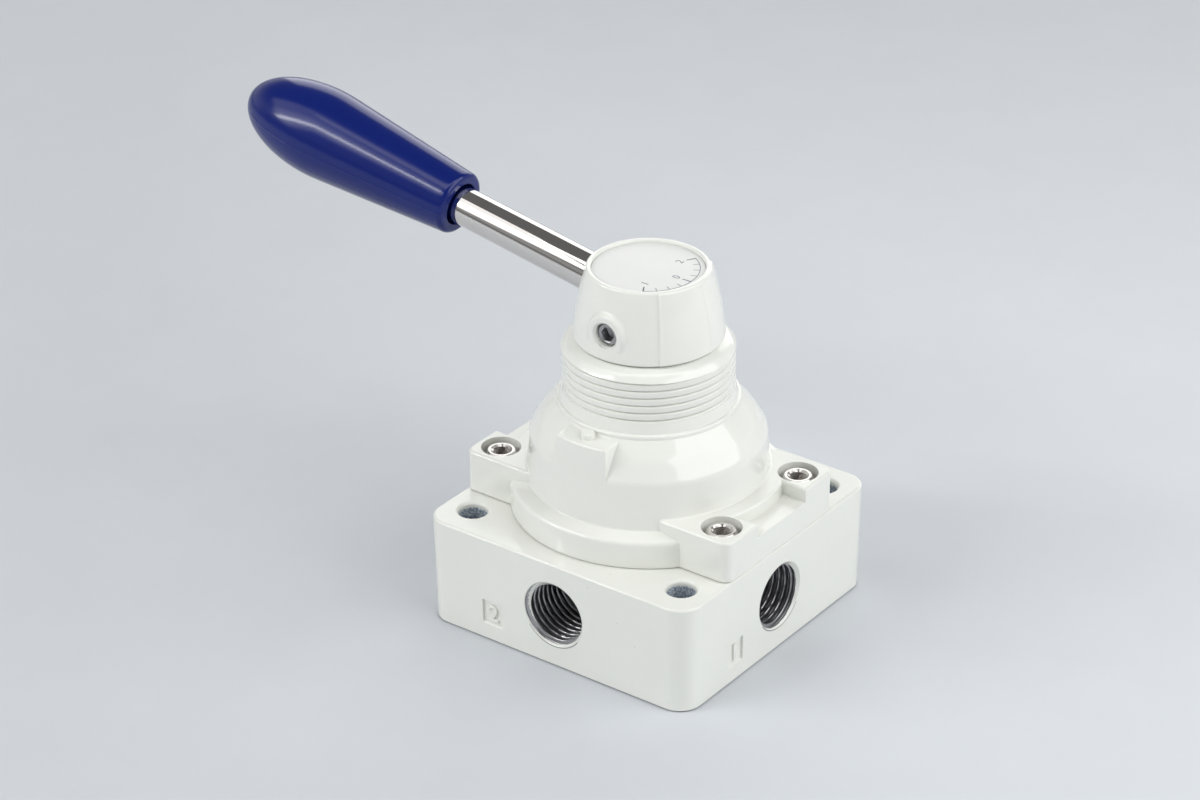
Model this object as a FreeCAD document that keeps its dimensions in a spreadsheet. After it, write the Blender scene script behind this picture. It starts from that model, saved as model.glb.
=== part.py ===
import FreeCAD, Part
import os
import math
import Sketcher

# Hand lever air valve: a square base with four ports, a domed cover with a threaded collar,
# and a lever head that turns a sealing disc between three positions.
# Millimetres. Z is up, the origin is the centre of the base's underside, the lever points to -X.

SIZES = [
    # base
    ("base_size", 60, "width of the square base at its top"),
    ("base_height", 21.5, "height of the base"),
    ("base_draft", 0.8, "draft of the base's side walls, degrees"),
    ("base_corner", 4.5, "radius of the base's upright corners"),
    ("cast_edge", 0.5, "rounding of the cast outer edges"),
    ("mount_edge_x", 6.15, "distance of the mounting holes from the base's side along X"),
    ("mount_edge_y", 7.1, "distance of the mounting holes from the base's side along Y"),
    ("mount_hole", 5.5, "diameter of the mounting holes"),
    ("mount_rim", 0.6, "rounding of the mounting holes' rims"),
    ("port_height", 10.75, "height of the port axes"),
    ("port_thread", 13.16, "major diameter of the port thread"),
    ("port_depth", 12, "depth of the port thread"),
    ("port_chamfer", 0.3, "chamfer at a port's mouth"),
    ("port_core", 9, "diameter of the bore behind the thread"),
    ("core_runout", 1, "depth of that bore past the passage"),
    ("passage", 6, "diameter of the passages up to the seat"),
    ("passage_radius", 12, "distance of the passages from the axis"),
    ("mark_width", 4.8, "width of the sunk panel beside a port"),
    ("mark_height", 5.2, "height of that panel"),
    ("mark_depth", 0.25, "depth of that panel"),
    ("mark_offset", 14.2, "distance of that panel from the port axis"),
    ("mark_centre", 5.7, "height of that panel's centre"),
    # seat and disc
    ("seat_diameter", 38, "diameter of the sealing sheet"),
    ("seat_thickness", 1.5, "thickness of the sealing sheet"),
    ("disc_play", 0.58, "radial gap of the rotary disc in the chamber"),
    ("disc_gap", 0.35, "gap between the rotary disc and the spindle's flange"),
    ("slide_gap", 0.05, "film between sliding faces"),
    ("slot_width", 6, "width of the disc's kidney pockets"),
    ("slot_depth", 4, "depth of the kidney pockets"),
    ("slot_sweep", 92, "angle between the end centres of a kidney pocket, degrees"),
    # cover
    ("cover_width", 34.4, "width of the cover's plate along Y"),
    ("cover_height", 8.3, "height of the cover's plate"),
    ("cover_corner", 2, "radius of the plate's upright corners"),
    ("flange_ledge", 3.1, "width of the round flange round the dome's foot"),
    ("flange_height", 5.6, "height of the round flange"),
    ("pocket_width", 15.5, "width of the pocket at each end of the plate"),
    ("dome_foot", 45.6, "diameter of the dome at the flange"),
    ("dome_draft", 4.2, "draft of the dome's wall, degrees"),
    ("dome_wall_height", 9.8, "height of the dome's wall over the flange"),
    ("dome_bulge", 3, "rounding between wall and cone"),
    ("cone_height", 6.4, "height of the cone over the wall"),
    ("cone_diameter", 34.4, "diameter of the cone's top"),
    ("step_height", 0.9, "height of the step ring"),
    ("step_ledge", 0.6, "width of the step ring round the band above it"),
    ("neck_height", 2.1, "height of the band between the step and the thread"),
    ("thread_length", 8, "length of the collar thread"),
    ("collar_diameter", 32.2, "outer diameter of the collar thread"),
    ("thread_tooth", 0.6, "height of the collar thread's tooth"),
    ("collar_rise", 2, "height of the collar's shoulder over the thread"),
    ("collar_slope", 0.7, "how far the shoulder slopes in before it flattens"),
    ("collar_in", 2.5, "how far the collar's top face lies inside its thread"),
    ("pad_half", 5.5, "half width of the locating pad"),
    ("pad_depth", 6, "how far the pad reaches down the dome's wall"),
    ("pad_drop", 0.3, "height of the cone's top over the pad"),
    ("pad_pin", 2.7, "diameter of the locating pin"),
    ("pad_pin_height", 1.1, "height of the locating pin above its pad"),
    ("pad_pin_setback", 1.5, "distance of the locating pin's axis from the cone's top edge"),
    ("cover_wall", 3, "wall of the dome"),
    ("roof", 5, "depth of the chamber's ceiling under the cone's top"),
    ("roof_corner", 2, "how far the chamber's upper corner is cut off"),
    # cover screws
    ("screw_edge_x", 4.8, "distance of the cover screws from the plate's side along X"),
    ("screw_edge_y", 4.9, "distance of the cover screws from the plate's side along Y"),
    ("screw_thread", 4, "thread diameter of the cover screws"),
    ("screw_length", 12, "length of the cover screws under the head"),
    ("screw_runout", 1.25, "depth of the tapped holes past the screws"),
    ("screw_head", 7, "head diameter of the cover screws"),
    ("screw_head_height", 4, "head height of the cover screws"),
    ("screw_socket", 3, "width across flats of their sockets"),
    ("screw_sink", 0.55, "depth of the screw heads below the plate's top"),
    ("counterbore_play", 0.3, "radial gap round the screw heads"),
    ("washer_height", 0.9, "thickness of the split washers"),
    ("washer_gap", 0.45, "width of the washers' split"),
    ("bolt_clearance", 0.2, "radial clearance of a screw in a plain hole"),
    ("thread_clearance", 0.05, "radial gap between a screw and its tapped hole"),
    # seals
    ("seal_land", 1.7, "wall between the seat's recess and the body seal's groove"),
    ("body_seal_cord", 1.2, "cord of the body seal"),
    ("shaft_seal_cord", 1.5, "cord of the shaft seal"),
    ("shaft_seal_rise", 1.4, "height of the shaft seal's groove over the ceiling"),
    ("seal_gap", 0.05, "play of a seal in its groove"),
    # spindle
    ("shaft", 10, "diameter of the spindle's shaft"),
    ("bush_wall", 1.47, "wall of the bush"),
    ("bush_length", 12, "length of the bush"),
    ("bush_sink", 0.3, "depth of the bush below the collar's top face"),
    ("running_gap", 0.03, "radial gap of the shaft in its bush"),
    ("shaft_gap", 0.1, "radial gap of the shaft in the cover"),
    ("spindle_flange", 30, "diameter of the spindle's flange"),
    ("spindle_flange_height", 7, "height of the spindle's flange"),
    ("thrust_height", 1.2, "thickness of the thrust washer"),
    ("thrust_margin", 0.9, "gap between the thrust washer and the balls"),
    ("drive_pin", 4, "diameter of the drive pins"),
    ("drive_pin_edge", 4, "distance of the drive pins from the flange's rim"),
    ("drive_pin_reach", 3, "depth of the drive pins in each part"),
    ("spring_bore", 12, "diameter of the bore that holds the disc's spring"),
    ("spring_bore_depth", 4.5, "depth of that bore in the disc"),
    ("spring_wire", 1, "wire of the disc's spring"),
    ("spring_turns", 3, "turns of the disc's spring"),
    # detent
    ("ball", 4, "diameter of the detent balls"),
    ("ball_edge", 4, "distance of the balls from the flange's rim"),
    ("ball_gap", 0.08, "radial gap of a ball in its hole"),
    ("ball_floor", 1, "floor under the ball springs"),
    ("notch_depth", 0.5, "travel of a ball into its notch"),
    ("notch_angle", 45, "angle between two notches, degrees"),
    ("ball_wire", 0.5, "wire of the ball springs"),
    ("ball_turns", 3, "turns of the ball springs"),
    # lever head
    ("head_gap", 0.3, "gap between the head and the collar"),
    ("head_foot", 28.1, "diameter of the head's foot"),
    ("head_waist", 25.5, "diameter where the head's side bends inwards"),
    ("head_bend", 8.7, "height of that bend over the foot"),
    ("head_rim", 22.9, "outer diameter of the head's rim"),
    ("head_over", 7.6, "height of the rim over the lever's axis"),
    ("rim_wall", 0.8, "wall of the rim round the dish"),
    ("head_dish_depth", 0.9, "depth of the dish"),
    ("head_roof", 2.9, "wall between the dish and the spindle's end"),
    ("foot_wall", 1.95, "wall round the hollow in the foot"),
    ("head_hollow_depth", 1.6, "depth of that hollow"),
    ("head_hub", 17, "diameter of the hub round the shaft"),
    ("set_rise", 4.7, "height of the set screw over the foot"),
    ("set_thread", 5, "thread diameter of the set screw"),
    ("set_socket", 2.5, "width across flats of its socket"),
    ("set_socket_depth", 2.4, "depth of its socket"),
    ("set_length", 8, "length of the set screw"),
    ("set_boss", 8.2, "diameter of the flat round the set screw"),
    ("set_boss_in", 0.6, "how far that flat lies inside the foot's radius"),
    ("flat_depth", 0.8, "depth of the shaft's flat"),
    ("plate_thickness", 0.3, "thickness of the dial plate"),
    ("plate_gap", 0.15, "radial gap of the dial plate in the dish"),
    # lever
    ("lever_rise", 6, "height over the foot where the lever's axis meets the spindle's"),
    ("lever_tilt", 10, "tilt of the lever above level, degrees"),
    ("rod", 7.32, "diameter of the rod"),
    ("rod_gap", 1.4, "distance of the rod's inner end from the shaft"),
    ("rod_thread", 6, "diameter of the rod's threaded end"),
    ("grip_mouth", 43.9, "distance of the grip's mouth along the lever"),
    ("grip_length", 51.6, "length of the grip"),
    ("grip_tip", 17.85, "half length of the grip's rounded end"),
    ("grip_diameter", 17.5, "largest diameter of the grip"),
    ("grip_taper", 0.088, "taper of the grip's side, radius over length"),
    ("grip_lip", 1.2, "rounding of the grip's mouth"),
    ("grip_play", 0.25, "radial gap of the rod in the grip's mouth"),
    ("insert_sink", 3.2, "depth of the insert below the mouth"),
    ("insert_diameter", 8.8, "outer diameter of the insert"),
    ("insert_length", 14, "length of the insert"),
]

V = FreeCAD.Vector
X_AXIS = V(1, 0, 0)
Y_AXIS = V(0, 1, 0)
DOWN = 180

doc = FreeCAD.newDocument("HandLeverValve")
dim = doc.addObject("Spreadsheet::Sheet", "Dim")
for row, (alias, value, note) in enumerate(SIZES, 1):
    dim.set("A%d" % row, note)
    dim.set("B%d" % row, str(value))
    dim.setAlias("B%d" % row, alias)
doc.recompute()

# Lengths that follow from the sizes, written once as expressions of the sheet.
MOUNT_X = "(Dim.base_size / 2 - Dim.mount_edge_x)"
MOUNT_Y = "(Dim.base_size / 2 - Dim.mount_edge_y)"
SCREW_X = "(Dim.base_size / 2 - Dim.screw_edge_x)"
SCREW_Y = "(Dim.cover_width / 2 - Dim.screw_edge_y)"
PORT_FACE = "(Dim.base_size / 2 - (Dim.base_height - Dim.port_height) * tan(Dim.base_draft * 1 deg))"
MARK_FACE = "(Dim.base_size / 2 - (Dim.base_height - Dim.mark_centre) * tan(Dim.base_draft * 1 deg))"
PLATE_TOP = "(Dim.base_height + Dim.cover_height)"
FLANGE_RADIUS = "(Dim.dome_foot / 2 + Dim.flange_ledge)"
FLANGE_TOP = "(Dim.base_height + Dim.flange_height)"
WALL_TOP = "(%s + Dim.dome_wall_height)" % FLANGE_TOP
WALL_RADIUS = "(Dim.dome_foot / 2 - Dim.dome_wall_height * tan(Dim.dome_draft * 1 deg))"
CONE_TOP = "(%s + Dim.cone_height)" % WALL_TOP
STEP_TOP = "(%s + Dim.step_height)" % CONE_TOP
NECK_RADIUS = "(Dim.cone_diameter / 2 - Dim.step_ledge)"
THREAD_START = "(%s + Dim.neck_height)" % STEP_TOP
THREAD_END = "(%s + Dim.thread_length)" % THREAD_START
COLLAR_TOP = "(%s + Dim.collar_rise)" % THREAD_END
PAD_TOP = "(%s - Dim.pad_drop)" % CONE_TOP
PAD_LOW = "(%s - Dim.pad_depth)" % WALL_TOP
BUSH_TOP = "(%s - Dim.bush_sink)" % COLLAR_TOP
BUSH_FOOT = "(%s - Dim.bush_length)" % BUSH_TOP
BUSH_RADIUS = "(Dim.shaft / 2 + Dim.running_gap + Dim.bush_wall)"
CHAMBER_RADIUS = "(%s - Dim.cover_wall)" % WALL_RADIUS
CEILING = "(%s - Dim.roof)" % CONE_TOP
SCREW_HEAD_TOP = "(%s - Dim.screw_sink)" % PLATE_TOP
SCREW_SEAT = "(%s - Dim.screw_head_height)" % SCREW_HEAD_TOP
WASHER_SEAT = "(%s - Dim.washer_height)" % SCREW_SEAT
SEAL_GROOVE_INNER = "(Dim.seat_diameter / 2 + Dim.seal_gap + Dim.seal_land)"
BODY_SEAL_RADIUS = "(%s + 2 * Dim.seal_gap + Dim.body_seal_cord / 2)" % SEAL_GROOVE_INNER
SHAFT_SEAL_FOOT = "(%s + Dim.shaft_seal_rise)" % CEILING
SPINDLE_TOP = "(%s - Dim.thrust_height - 2 * Dim.slide_gap)" % CEILING
SPINDLE_FOOT = "(%s - Dim.spindle_flange_height)" % SPINDLE_TOP
DISC_FOOT = "(Dim.base_height + Dim.slide_gap)"
DISC_TOP = "(%s - Dim.disc_gap)" % SPINDLE_FOOT
DISC_RADIUS = "(%s - Dim.disc_play)" % CHAMBER_RADIUS
PIN_RADIUS = "(Dim.spindle_flange / 2 - Dim.drive_pin_edge)"
BALL_RADIUS = "(Dim.spindle_flange / 2 - Dim.ball_edge)"
BALL_CENTRE = "(%s - Dim.slide_gap - Dim.ball / 2)" % CEILING
BALL_HOLE_FOOT = "(%s + Dim.ball_floor)" % SPINDLE_FOOT
HEAD_FOOT = "(%s + Dim.head_gap)" % COLLAR_TOP
LEVER_HEIGHT = "(%s + Dim.lever_rise)" % HEAD_FOOT
SET_HEIGHT = "(%s + Dim.set_rise)" % HEAD_FOOT
HEAD_TOP = "(%s + Dim.head_over)" % LEVER_HEIGHT
DISH_FLOOR = "(%s - Dim.head_dish_depth)" % HEAD_TOP
SHAFT_TOP = "(%s - Dim.head_roof)" % DISH_FLOOR
BOSS_FACE = "(Dim.head_foot / 2 - Dim.set_boss_in)"
ROD_START = "(Dim.shaft / 2 + Dim.rod_gap)"
GRIP_CENTRE = "(Dim.grip_mouth + Dim.grip_length - Dim.grip_tip)"
INSERT_START = "(Dim.grip_mouth + Dim.insert_sink)"


def number(expression):
    """Present value of an expression of the sheet."""
    return float(dim.evalExpression(expression))


def new_body(label):
    body = doc.addObject("PartDesign::Body", label)
    body.Label = label
    doc.recompute()
    return body


def new_sketch(body, role, label, raised=None):
    """Sketch on one of the body's own origin planes, raised along the plane's normal."""
    plane = [item for item in body.Origin.OriginFeatures if item.Role == role][0]
    sketch = body.newObject("Sketcher::SketchObject", label)
    sketch.AttachmentSupport = (plane, "")
    sketch.MapMode = "FlatFace"
    if raised:
        sketch.setExpression("AttachmentOffset.Base.z", raised)
    return sketch


def tie(sketch, geometry, point, x, y):
    """Ties a point of a sketch to two expressions, or to an axis where one is zero."""
    for kind, axis, expression in (("DistanceX", -2, x), ("DistanceY", -1, y)):
        if expression == "0":
            sketch.addConstraint(Sketcher.Constraint("PointOnObject", geometry, point, axis))
            continue
        held = Sketcher.Constraint(kind, -1, 1, geometry, point, number(expression))
        index = sketch.addConstraint(held)
        sketch.setExpression("Constraints[%d]" % index, expression)


def outline(sketch, corners):
    """Closed outline of straight edges through corners given as pairs of expressions."""
    first = sketch.GeometryCount
    count = len(corners)
    spots = [V(number(x), number(y), 0) for x, y in corners]
    for k in range(count):
        sketch.addGeometry(Part.LineSegment(spots[k], spots[(k + 1) % count]))
    for k in range(count):
        after = first + (k + 1) % count
        sketch.addConstraint(Sketcher.Constraint("Coincident", first + k, 2, after, 1))
    for k, (x, y) in enumerate(corners):
        tie(sketch, first + k, 1, x, y)


def circle(sketch, diameter, x="0", y="0"):
    """Circle whose diameter and centre follow expressions."""
    centre = V(number(x), number(y), 0)
    index = sketch.addGeometry(Part.Circle(centre, V(0, 0, 1), number(diameter) / 2))
    if x == "0" and y == "0":
        sketch.addConstraint(Sketcher.Constraint("Coincident", index, 3, -1, 1))
    else:
        tie(sketch, index, 3, x, y)
    held = sketch.addConstraint(Sketcher.Constraint("Diameter", index, number(diameter)))
    sketch.setExpression("Constraints[%d]" % held, diameter)


def box_outline(sketch, half_x, half_y, x="0", y="0"):
    """Rectangle about a centre, given by its half sides."""
    left, right = "(%s) - (%s)" % (x, half_x), "(%s) + (%s)" % (x, half_x)
    low, high = "(%s) - (%s)" % (y, half_y), "(%s) + (%s)" % (y, half_y)
    outline(sketch, [(left, low), (right, low), (right, high), (left, high)])


def pad(body, sketch, length, label, taper=None):
    feature = body.newObject("PartDesign::Pad", label)
    feature.Profile = sketch
    feature.setExpression("Length", length)
    if taper:
        feature.setExpression("TaperAngle", taper)
    return feature


def pocket(body, sketch, length, label, upward=False):
    """Cuts against the sketch's normal, or along it where upward is set."""
    feature = body.newObject("PartDesign::Pocket", label)
    feature.Profile = sketch
    feature.setExpression("Length", length)
    feature.Reversed = upward
    return feature


def turned(body, sketch, label, axis="V_Axis", cut=False):
    """Revolves a half profile about an axis of its sketch, adding or cutting."""
    kind = "PartDesign::Groove" if cut else "PartDesign::Revolution"
    feature = body.newObject(kind, label)
    feature.Profile = sketch
    feature.ReferenceAxis = (sketch, [axis])
    feature.Angle = 360
    return feature


def polar(body, features, label, count):
    """Repeats features round the body's Z axis."""
    axis = [item for item in body.Origin.OriginFeatures if item.Role == "Z_Axis"][0]
    pattern = body.newObject("PartDesign::PolarPattern", label)
    pattern.Originals = features
    pattern.Axis = (axis, [""])
    pattern.Angle = 360
    pattern.Occurrences = count
    body.Tip = pattern
    return pattern


def mirrored(body, features, label, role):
    """Mirrors features in one of the body's origin planes."""
    plane = [item for item in body.Origin.OriginFeatures if item.Role == role][0]
    pattern = body.newObject("PartDesign::Mirrored", label)
    pattern.Originals = features
    pattern.MirrorPlane = (plane, [""])
    body.Tip = pattern
    return pattern


def rounded(body, base, radius, label, wanted):
    """Rounds the edges of base for which wanted(edge) holds."""
    doc.recompute()
    names = ["Edge%d" % k for k, edge in enumerate(base.Shape.Edges, 1) if wanted(edge)]
    feature = body.newObject("PartDesign::Fillet", label)
    feature.Base = (base, names)
    feature.setExpression("Radius", radius)
    body.Tip = feature
    return feature


def edge_middle(edge):
    return edge.valueAt((edge.FirstParameter + edge.LastParameter) / 2)


def level_edge(height, tolerance=0.01):
    """Test for edges that lie level at one height."""
    def holds(edge):
        box = edge.BoundBox
        return abs(box.ZMin - height) < tolerance and abs(box.ZMax - height) < tolerance
    return holds


def ring_edge(height, radius):
    """Test for full circles about the Z axis."""
    level = level_edge(height)

    def holds(edge):
        return level(edge) and abs(edge.BoundBox.XMax - radius) < 0.05 and edge.isClosed()
    return holds


def along_lever(item, distance="0"):
    """Places an item so that its own Z axis runs out along the lever."""
    item.Placement.Rotation.Axis = Y_AXIS
    item.setExpression("Placement.Rotation.Angle", "(Dim.lever_tilt - 90) * 1 deg")
    item.setExpression("Placement.Base.x", "0 - (%s) * cos(Dim.lever_tilt * 1 deg)" % distance)
    rise = "(%s) * sin(Dim.lever_tilt * 1 deg)" % distance
    item.setExpression("Placement.Base.z", LEVER_HEIGHT + " + " + rise)


def cylinder(label, radius, height, x="0", y="0", z="0"):
    item = doc.addObject("Part::Cylinder", label)
    item.setExpression("Radius", radius)
    item.setExpression("Height", height)
    for axis, place in (("x", x), ("y", y), ("z", z)):
        item.setExpression("Placement.Base." + axis, place)
    return item


def cut(label, base, tool):
    item = doc.addObject("Part::Cut", label)
    item.Base = base
    item.Tool = tool
    return item


def fuse(label, pieces):
    item = doc.addObject("Part::MultiFuse", label)
    item.Shapes = pieces
    return item


def group(label, pieces):
    item = doc.addObject("Part::Compound", label)
    item.Links = pieces
    item.Label = label
    return item


def corner_places(x, y):
    """The four corners of a rectangle about the Z axis."""
    return [(sx + x, sy + y) for sx in ("-", "") for sy in ("-", "")]


def make_base_body():
    body = new_body("base_body")
    foot = "(Dim.base_size - 2 * Dim.base_height * tan(Dim.base_draft * 1 deg)) / 2"
    sketch = new_sketch(body, "XY_Plane", "base_foot")
    box_outline(sketch, foot, foot)
    block = pad(body, sketch, "Dim.base_height", "base_block", "Dim.base_draft")
    half = number(foot)
    corners = rounded(body, block, "Dim.base_corner", "base_corners",
                      lambda edge: edge.BoundBox.ZLength > half / 2)
    top = number("Dim.base_height")
    block = rounded(body, corners, "Dim.cast_edge", "base_rim", level_edge(top))

    sketch = new_sketch(body, "XZ_Plane", "port_profile")
    axis_z = "Dim.port_height"
    thread_end = PORT_FACE + " - Dim.port_depth"
    core_end = "Dim.passage_radius - Dim.passage / 2 - Dim.core_runout"
    thread = axis_z + " + Dim.port_thread / 2"
    core = axis_z + " + Dim.port_core / 2"
    mouth = thread + " + Dim.port_chamfer"
    outline(sketch, [(core_end, axis_z), (core_end, core), (thread_end, core), (thread_end, thread),
                     (PORT_FACE + " - Dim.port_chamfer", thread), (PORT_FACE, mouth),
                     (PORT_FACE + " + 1", mouth), (PORT_FACE + " + 1", axis_z)])
    reach = number("Dim.base_size")
    centre = sketch.addGeometry(Part.LineSegment(V(0, number(axis_z), 0), V(reach, number(axis_z), 0)), True)
    sketch.addConstraint(Sketcher.Constraint("Horizontal", centre))
    tie(sketch, centre, 1, "0", axis_z)
    held = sketch.addConstraint(Sketcher.Constraint("DistanceX", centre, 1, centre, 2, reach))
    sketch.setExpression("Constraints[%d]" % held, "Dim.base_size")
    port = turned(body, sketch, "port_bore", axis="Axis0", cut=True)

    sketch = new_sketch(body, "XY_Plane", "passage_circle", "Dim.base_height")
    circle(sketch, "Dim.passage", x="Dim.passage_radius")
    passage = pocket(body, sketch, "Dim.base_height - Dim.port_height", "passage_bore")

    sketch = new_sketch(body, "XZ_Plane", "mark_outline", MARK_FACE + " - Dim.mark_depth")
    box_outline(sketch, "Dim.mark_width / 2", "Dim.mark_height / 2",
                x="-Dim.mark_offset", y="Dim.mark_centre")
    mark = pocket(body, sketch, "Dim.mark_depth + 1", "mark_panel", upward=True)
    block = polar(body, [port, passage, mark], "four_ports", 4)

    sketch = new_sketch(body, "XY_Plane", "seat_circle", "Dim.base_height")
    circle(sketch, "Dim.seat_diameter + 2 * Dim.seal_gap")
    pocket(body, sketch, "Dim.seat_thickness", "seat_recess")

    sketch = new_sketch(body, "XY_Plane", "seal_circles", "Dim.base_height")
    circle(sketch, "2 * %s" % SEAL_GROOVE_INNER)
    circle(sketch, "2 * (%s + Dim.body_seal_cord + 4 * Dim.seal_gap)" % SEAL_GROOVE_INNER)
    pocket(body, sketch, "Dim.body_seal_cord + 2 * Dim.seal_gap", "seal_groove")

    sketch = new_sketch(body, "XY_Plane", "screw_circles", "Dim.base_height")
    for x, y in corner_places(SCREW_X, SCREW_Y):
        circle(sketch, "Dim.screw_thread + 2 * Dim.thread_clearance", x, y)
    screw_tip = "(%s - Dim.screw_length)" % SCREW_SEAT
    pocket(body, sketch, "Dim.base_height - %s + Dim.screw_runout" % screw_tip, "screw_holes")

    sketch = new_sketch(body, "XY_Plane", "mount_circles", "Dim.base_height")
    for x, y in corner_places(MOUNT_X, MOUNT_Y):
        circle(sketch, "Dim.mount_hole", x, y)
    block = pocket(body, sketch, "Dim.base_height", "mount_holes")
    hole = number("Dim.mount_hole")
    rounded(body, block, "Dim.mount_rim", "mount_rims", lambda edge: (
        level_edge(top)(edge) and edge.isClosed() and abs(edge.BoundBox.XLength - hole) < 0.01))
    return body


def make_cover_housing():
    body = new_body("cover_housing")
    sketch = new_sketch(body, "XZ_Plane", "cover_profile")
    outline(sketch, [
        ("0", "Dim.base_height"),
        (FLANGE_RADIUS, "Dim.base_height"),
        (FLANGE_RADIUS, FLANGE_TOP),
        ("Dim.dome_foot / 2", FLANGE_TOP),
        (WALL_RADIUS, WALL_TOP),
        ("Dim.cone_diameter / 2", CONE_TOP),
        ("Dim.cone_diameter / 2", STEP_TOP),
        (NECK_RADIUS, STEP_TOP),
        ("Dim.collar_diameter / 2", THREAD_START),
        ("Dim.collar_diameter / 2 - Dim.thread_tooth", THREAD_START),
        ("Dim.collar_diameter / 2 - Dim.thread_tooth", THREAD_END),
        ("Dim.collar_diameter / 2", THREAD_END),
        ("Dim.collar_diameter / 2 - Dim.collar_slope", THREAD_END + " + Dim.collar_rise / 2"),
        ("Dim.collar_diameter / 2 - Dim.collar_in", COLLAR_TOP),
        ("0", COLLAR_TOP),
    ])
    solid = turned(body, sketch, "cover_turned")
    solid = rounded(body, solid, "Dim.dome_bulge", "dome_edge",
                    ring_edge(number(WALL_TOP), number(WALL_RADIUS)))
    solid = rounded(body, solid, "Dim.cast_edge", "step_edges", lambda edge: (
        ring_edge(number(STEP_TOP), number("Dim.cone_diameter / 2"))(edge)
        or ring_edge(number(FLANGE_TOP), number(FLANGE_RADIUS))(edge)))
    solid = rounded(body, solid, "Dim.cast_edge", "collar_edge",
                    ring_edge(number(COLLAR_TOP), number("Dim.collar_diameter / 2 - Dim.collar_in")))

    sketch = new_sketch(body, "XY_Plane", "plate_outline", "Dim.base_height")
    box_outline(sketch, "Dim.base_size / 2", "Dim.cover_width / 2")
    plate = pad(body, sketch, "Dim.cover_height", "cover_plate")
    half = number("Dim.base_size / 2")
    plate = rounded(body, plate, "Dim.cover_corner", "plate_corners", lambda edge: (
        abs(abs(edge_middle(edge).x) - half) < 0.01 and edge.BoundBox.ZLength > 4))

    # the pocket at each end of the plate follows the round flange
    sketch = new_sketch(body, "XY_Plane", "pocket_outline", PLATE_TOP)
    reach = number(FLANGE_RADIUS)
    width = number("Dim.pocket_width / 2")
    inner = math.sqrt(reach ** 2 - width ** 2)
    outer = half + number("Dim.cover_corner")
    turn = math.atan2(width, inner)
    sketch.addGeometry(Part.ArcOfCircle(Part.Circle(V(0, 0, 0), V(0, 0, 1), reach), -turn, turn))
    sketch.addGeometry(Part.LineSegment(V(inner, width, 0), V(outer, width, 0)))
    sketch.addGeometry(Part.LineSegment(V(outer, width, 0), V(outer, -width, 0)))
    sketch.addGeometry(Part.LineSegment(V(outer, -width, 0), V(inner, -width, 0)))
    sketch.addConstraint(Sketcher.Constraint("Coincident", 0, 3, -1, 1))
    for one, one_end, two, two_end in ((0, 2, 1, 1), (1, 2, 2, 1), (2, 2, 3, 1), (3, 2, 0, 1)):
        sketch.addConstraint(Sketcher.Constraint("Coincident", one, one_end, two, two_end))
    held = sketch.addConstraint(Sketcher.Constraint("Radius", 0, reach))
    sketch.setExpression("Constraints[%d]" % held, FLANGE_RADIUS)
    tie(sketch, 1, 2, "Dim.base_size / 2 + Dim.cover_corner", "Dim.pocket_width / 2")
    tie(sketch, 2, 2, "Dim.base_size / 2 + Dim.cover_corner", "-Dim.pocket_width / 2")
    sketch.addConstraint(Sketcher.Constraint("Horizontal", 1))
    sketch.addConstraint(Sketcher.Constraint("Horizontal", 3))
    cutout = pocket(body, sketch, "Dim.cover_height - Dim.flange_height", "end_pocket")
    plate = mirrored(body, [cutout], "end_pockets", "YZ_Plane")
    top = number(PLATE_TOP)
    plate = rounded(body, plate, "Dim.cast_edge", "plate_rim", level_edge(top))

    # locating pad: the dome's wall carried up beside the cone, and its pin
    front = "(Dim.dome_foot / 2 - (%s - %s) * tan(Dim.dome_draft * 1 deg))" % (PAD_LOW, FLANGE_TOP)
    rise = "(%s - %s)" % (PAD_TOP, PAD_LOW)
    side = "(Dim.pad_half + %s * tan(Dim.dome_draft * 1 deg))" % rise
    sketch = new_sketch(body, "XY_Plane", "pad_outline", PAD_LOW)
    reach, width = number(front), number(side)
    turn = math.asin(width / reach)
    depth = -math.sqrt(reach ** 2 - width ** 2)
    back = -number("Dim.cone_diameter / 2 - Dim.cover_wall")
    down = -math.pi / 2
    sketch.addGeometry(Part.ArcOfCircle(Part.Circle(V(0, 0, 0), V(0, 0, 1), reach), down - turn, down + turn))
    sketch.addGeometry(Part.LineSegment(V(width, depth, 0), V(width, back, 0)))
    sketch.addGeometry(Part.LineSegment(V(width, back, 0), V(-width, back, 0)))
    sketch.addGeometry(Part.LineSegment(V(-width, back, 0), V(-width, depth, 0)))
    sketch.addConstraint(Sketcher.Constraint("Coincident", 0, 3, -1, 1))
    for one, one_end, two, two_end in ((0, 2, 1, 1), (1, 2, 2, 1), (2, 2, 3, 1), (3, 2, 0, 1)):
        sketch.addConstraint(Sketcher.Constraint("Coincident", one, one_end, two, two_end))
    held = sketch.addConstraint(Sketcher.Constraint("Radius", 0, reach))
    sketch.setExpression("Constraints[%d]" % held, front)
    tie(sketch, 1, 2, side, "-(Dim.cone_diameter / 2 - Dim.cover_wall)")
    tie(sketch, 2, 2, "-" + side, "-(Dim.cone_diameter / 2 - Dim.cover_wall)")
    sketch.addConstraint(Sketcher.Constraint("Vertical", 1))
    sketch.addConstraint(Sketcher.Constraint("Vertical", 3))
    block = pad(body, sketch, rise, "locating_pad", "-Dim.dome_draft")
    pad_top = number(PAD_TOP)
    narrow = number("Dim.cone_diameter / 2")
    block = rounded(body, block, "Dim.cast_edge", "pad_edges", lambda edge: (
        level_edge(pad_top)(edge) and edge_middle(edge).y < -narrow))
    sketch = new_sketch(body, "XY_Plane", "pin_circle", PAD_TOP + " - Dim.pad_pin_height")
    circle(sketch, "Dim.pad_pin", y="-(Dim.cone_diameter / 2 + Dim.pad_pin_setback)")
    block = pad(body, sketch, "2 * Dim.pad_pin_height", "locating_pin")
    pin_top = number(PAD_TOP + " + Dim.pad_pin_height")
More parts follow.
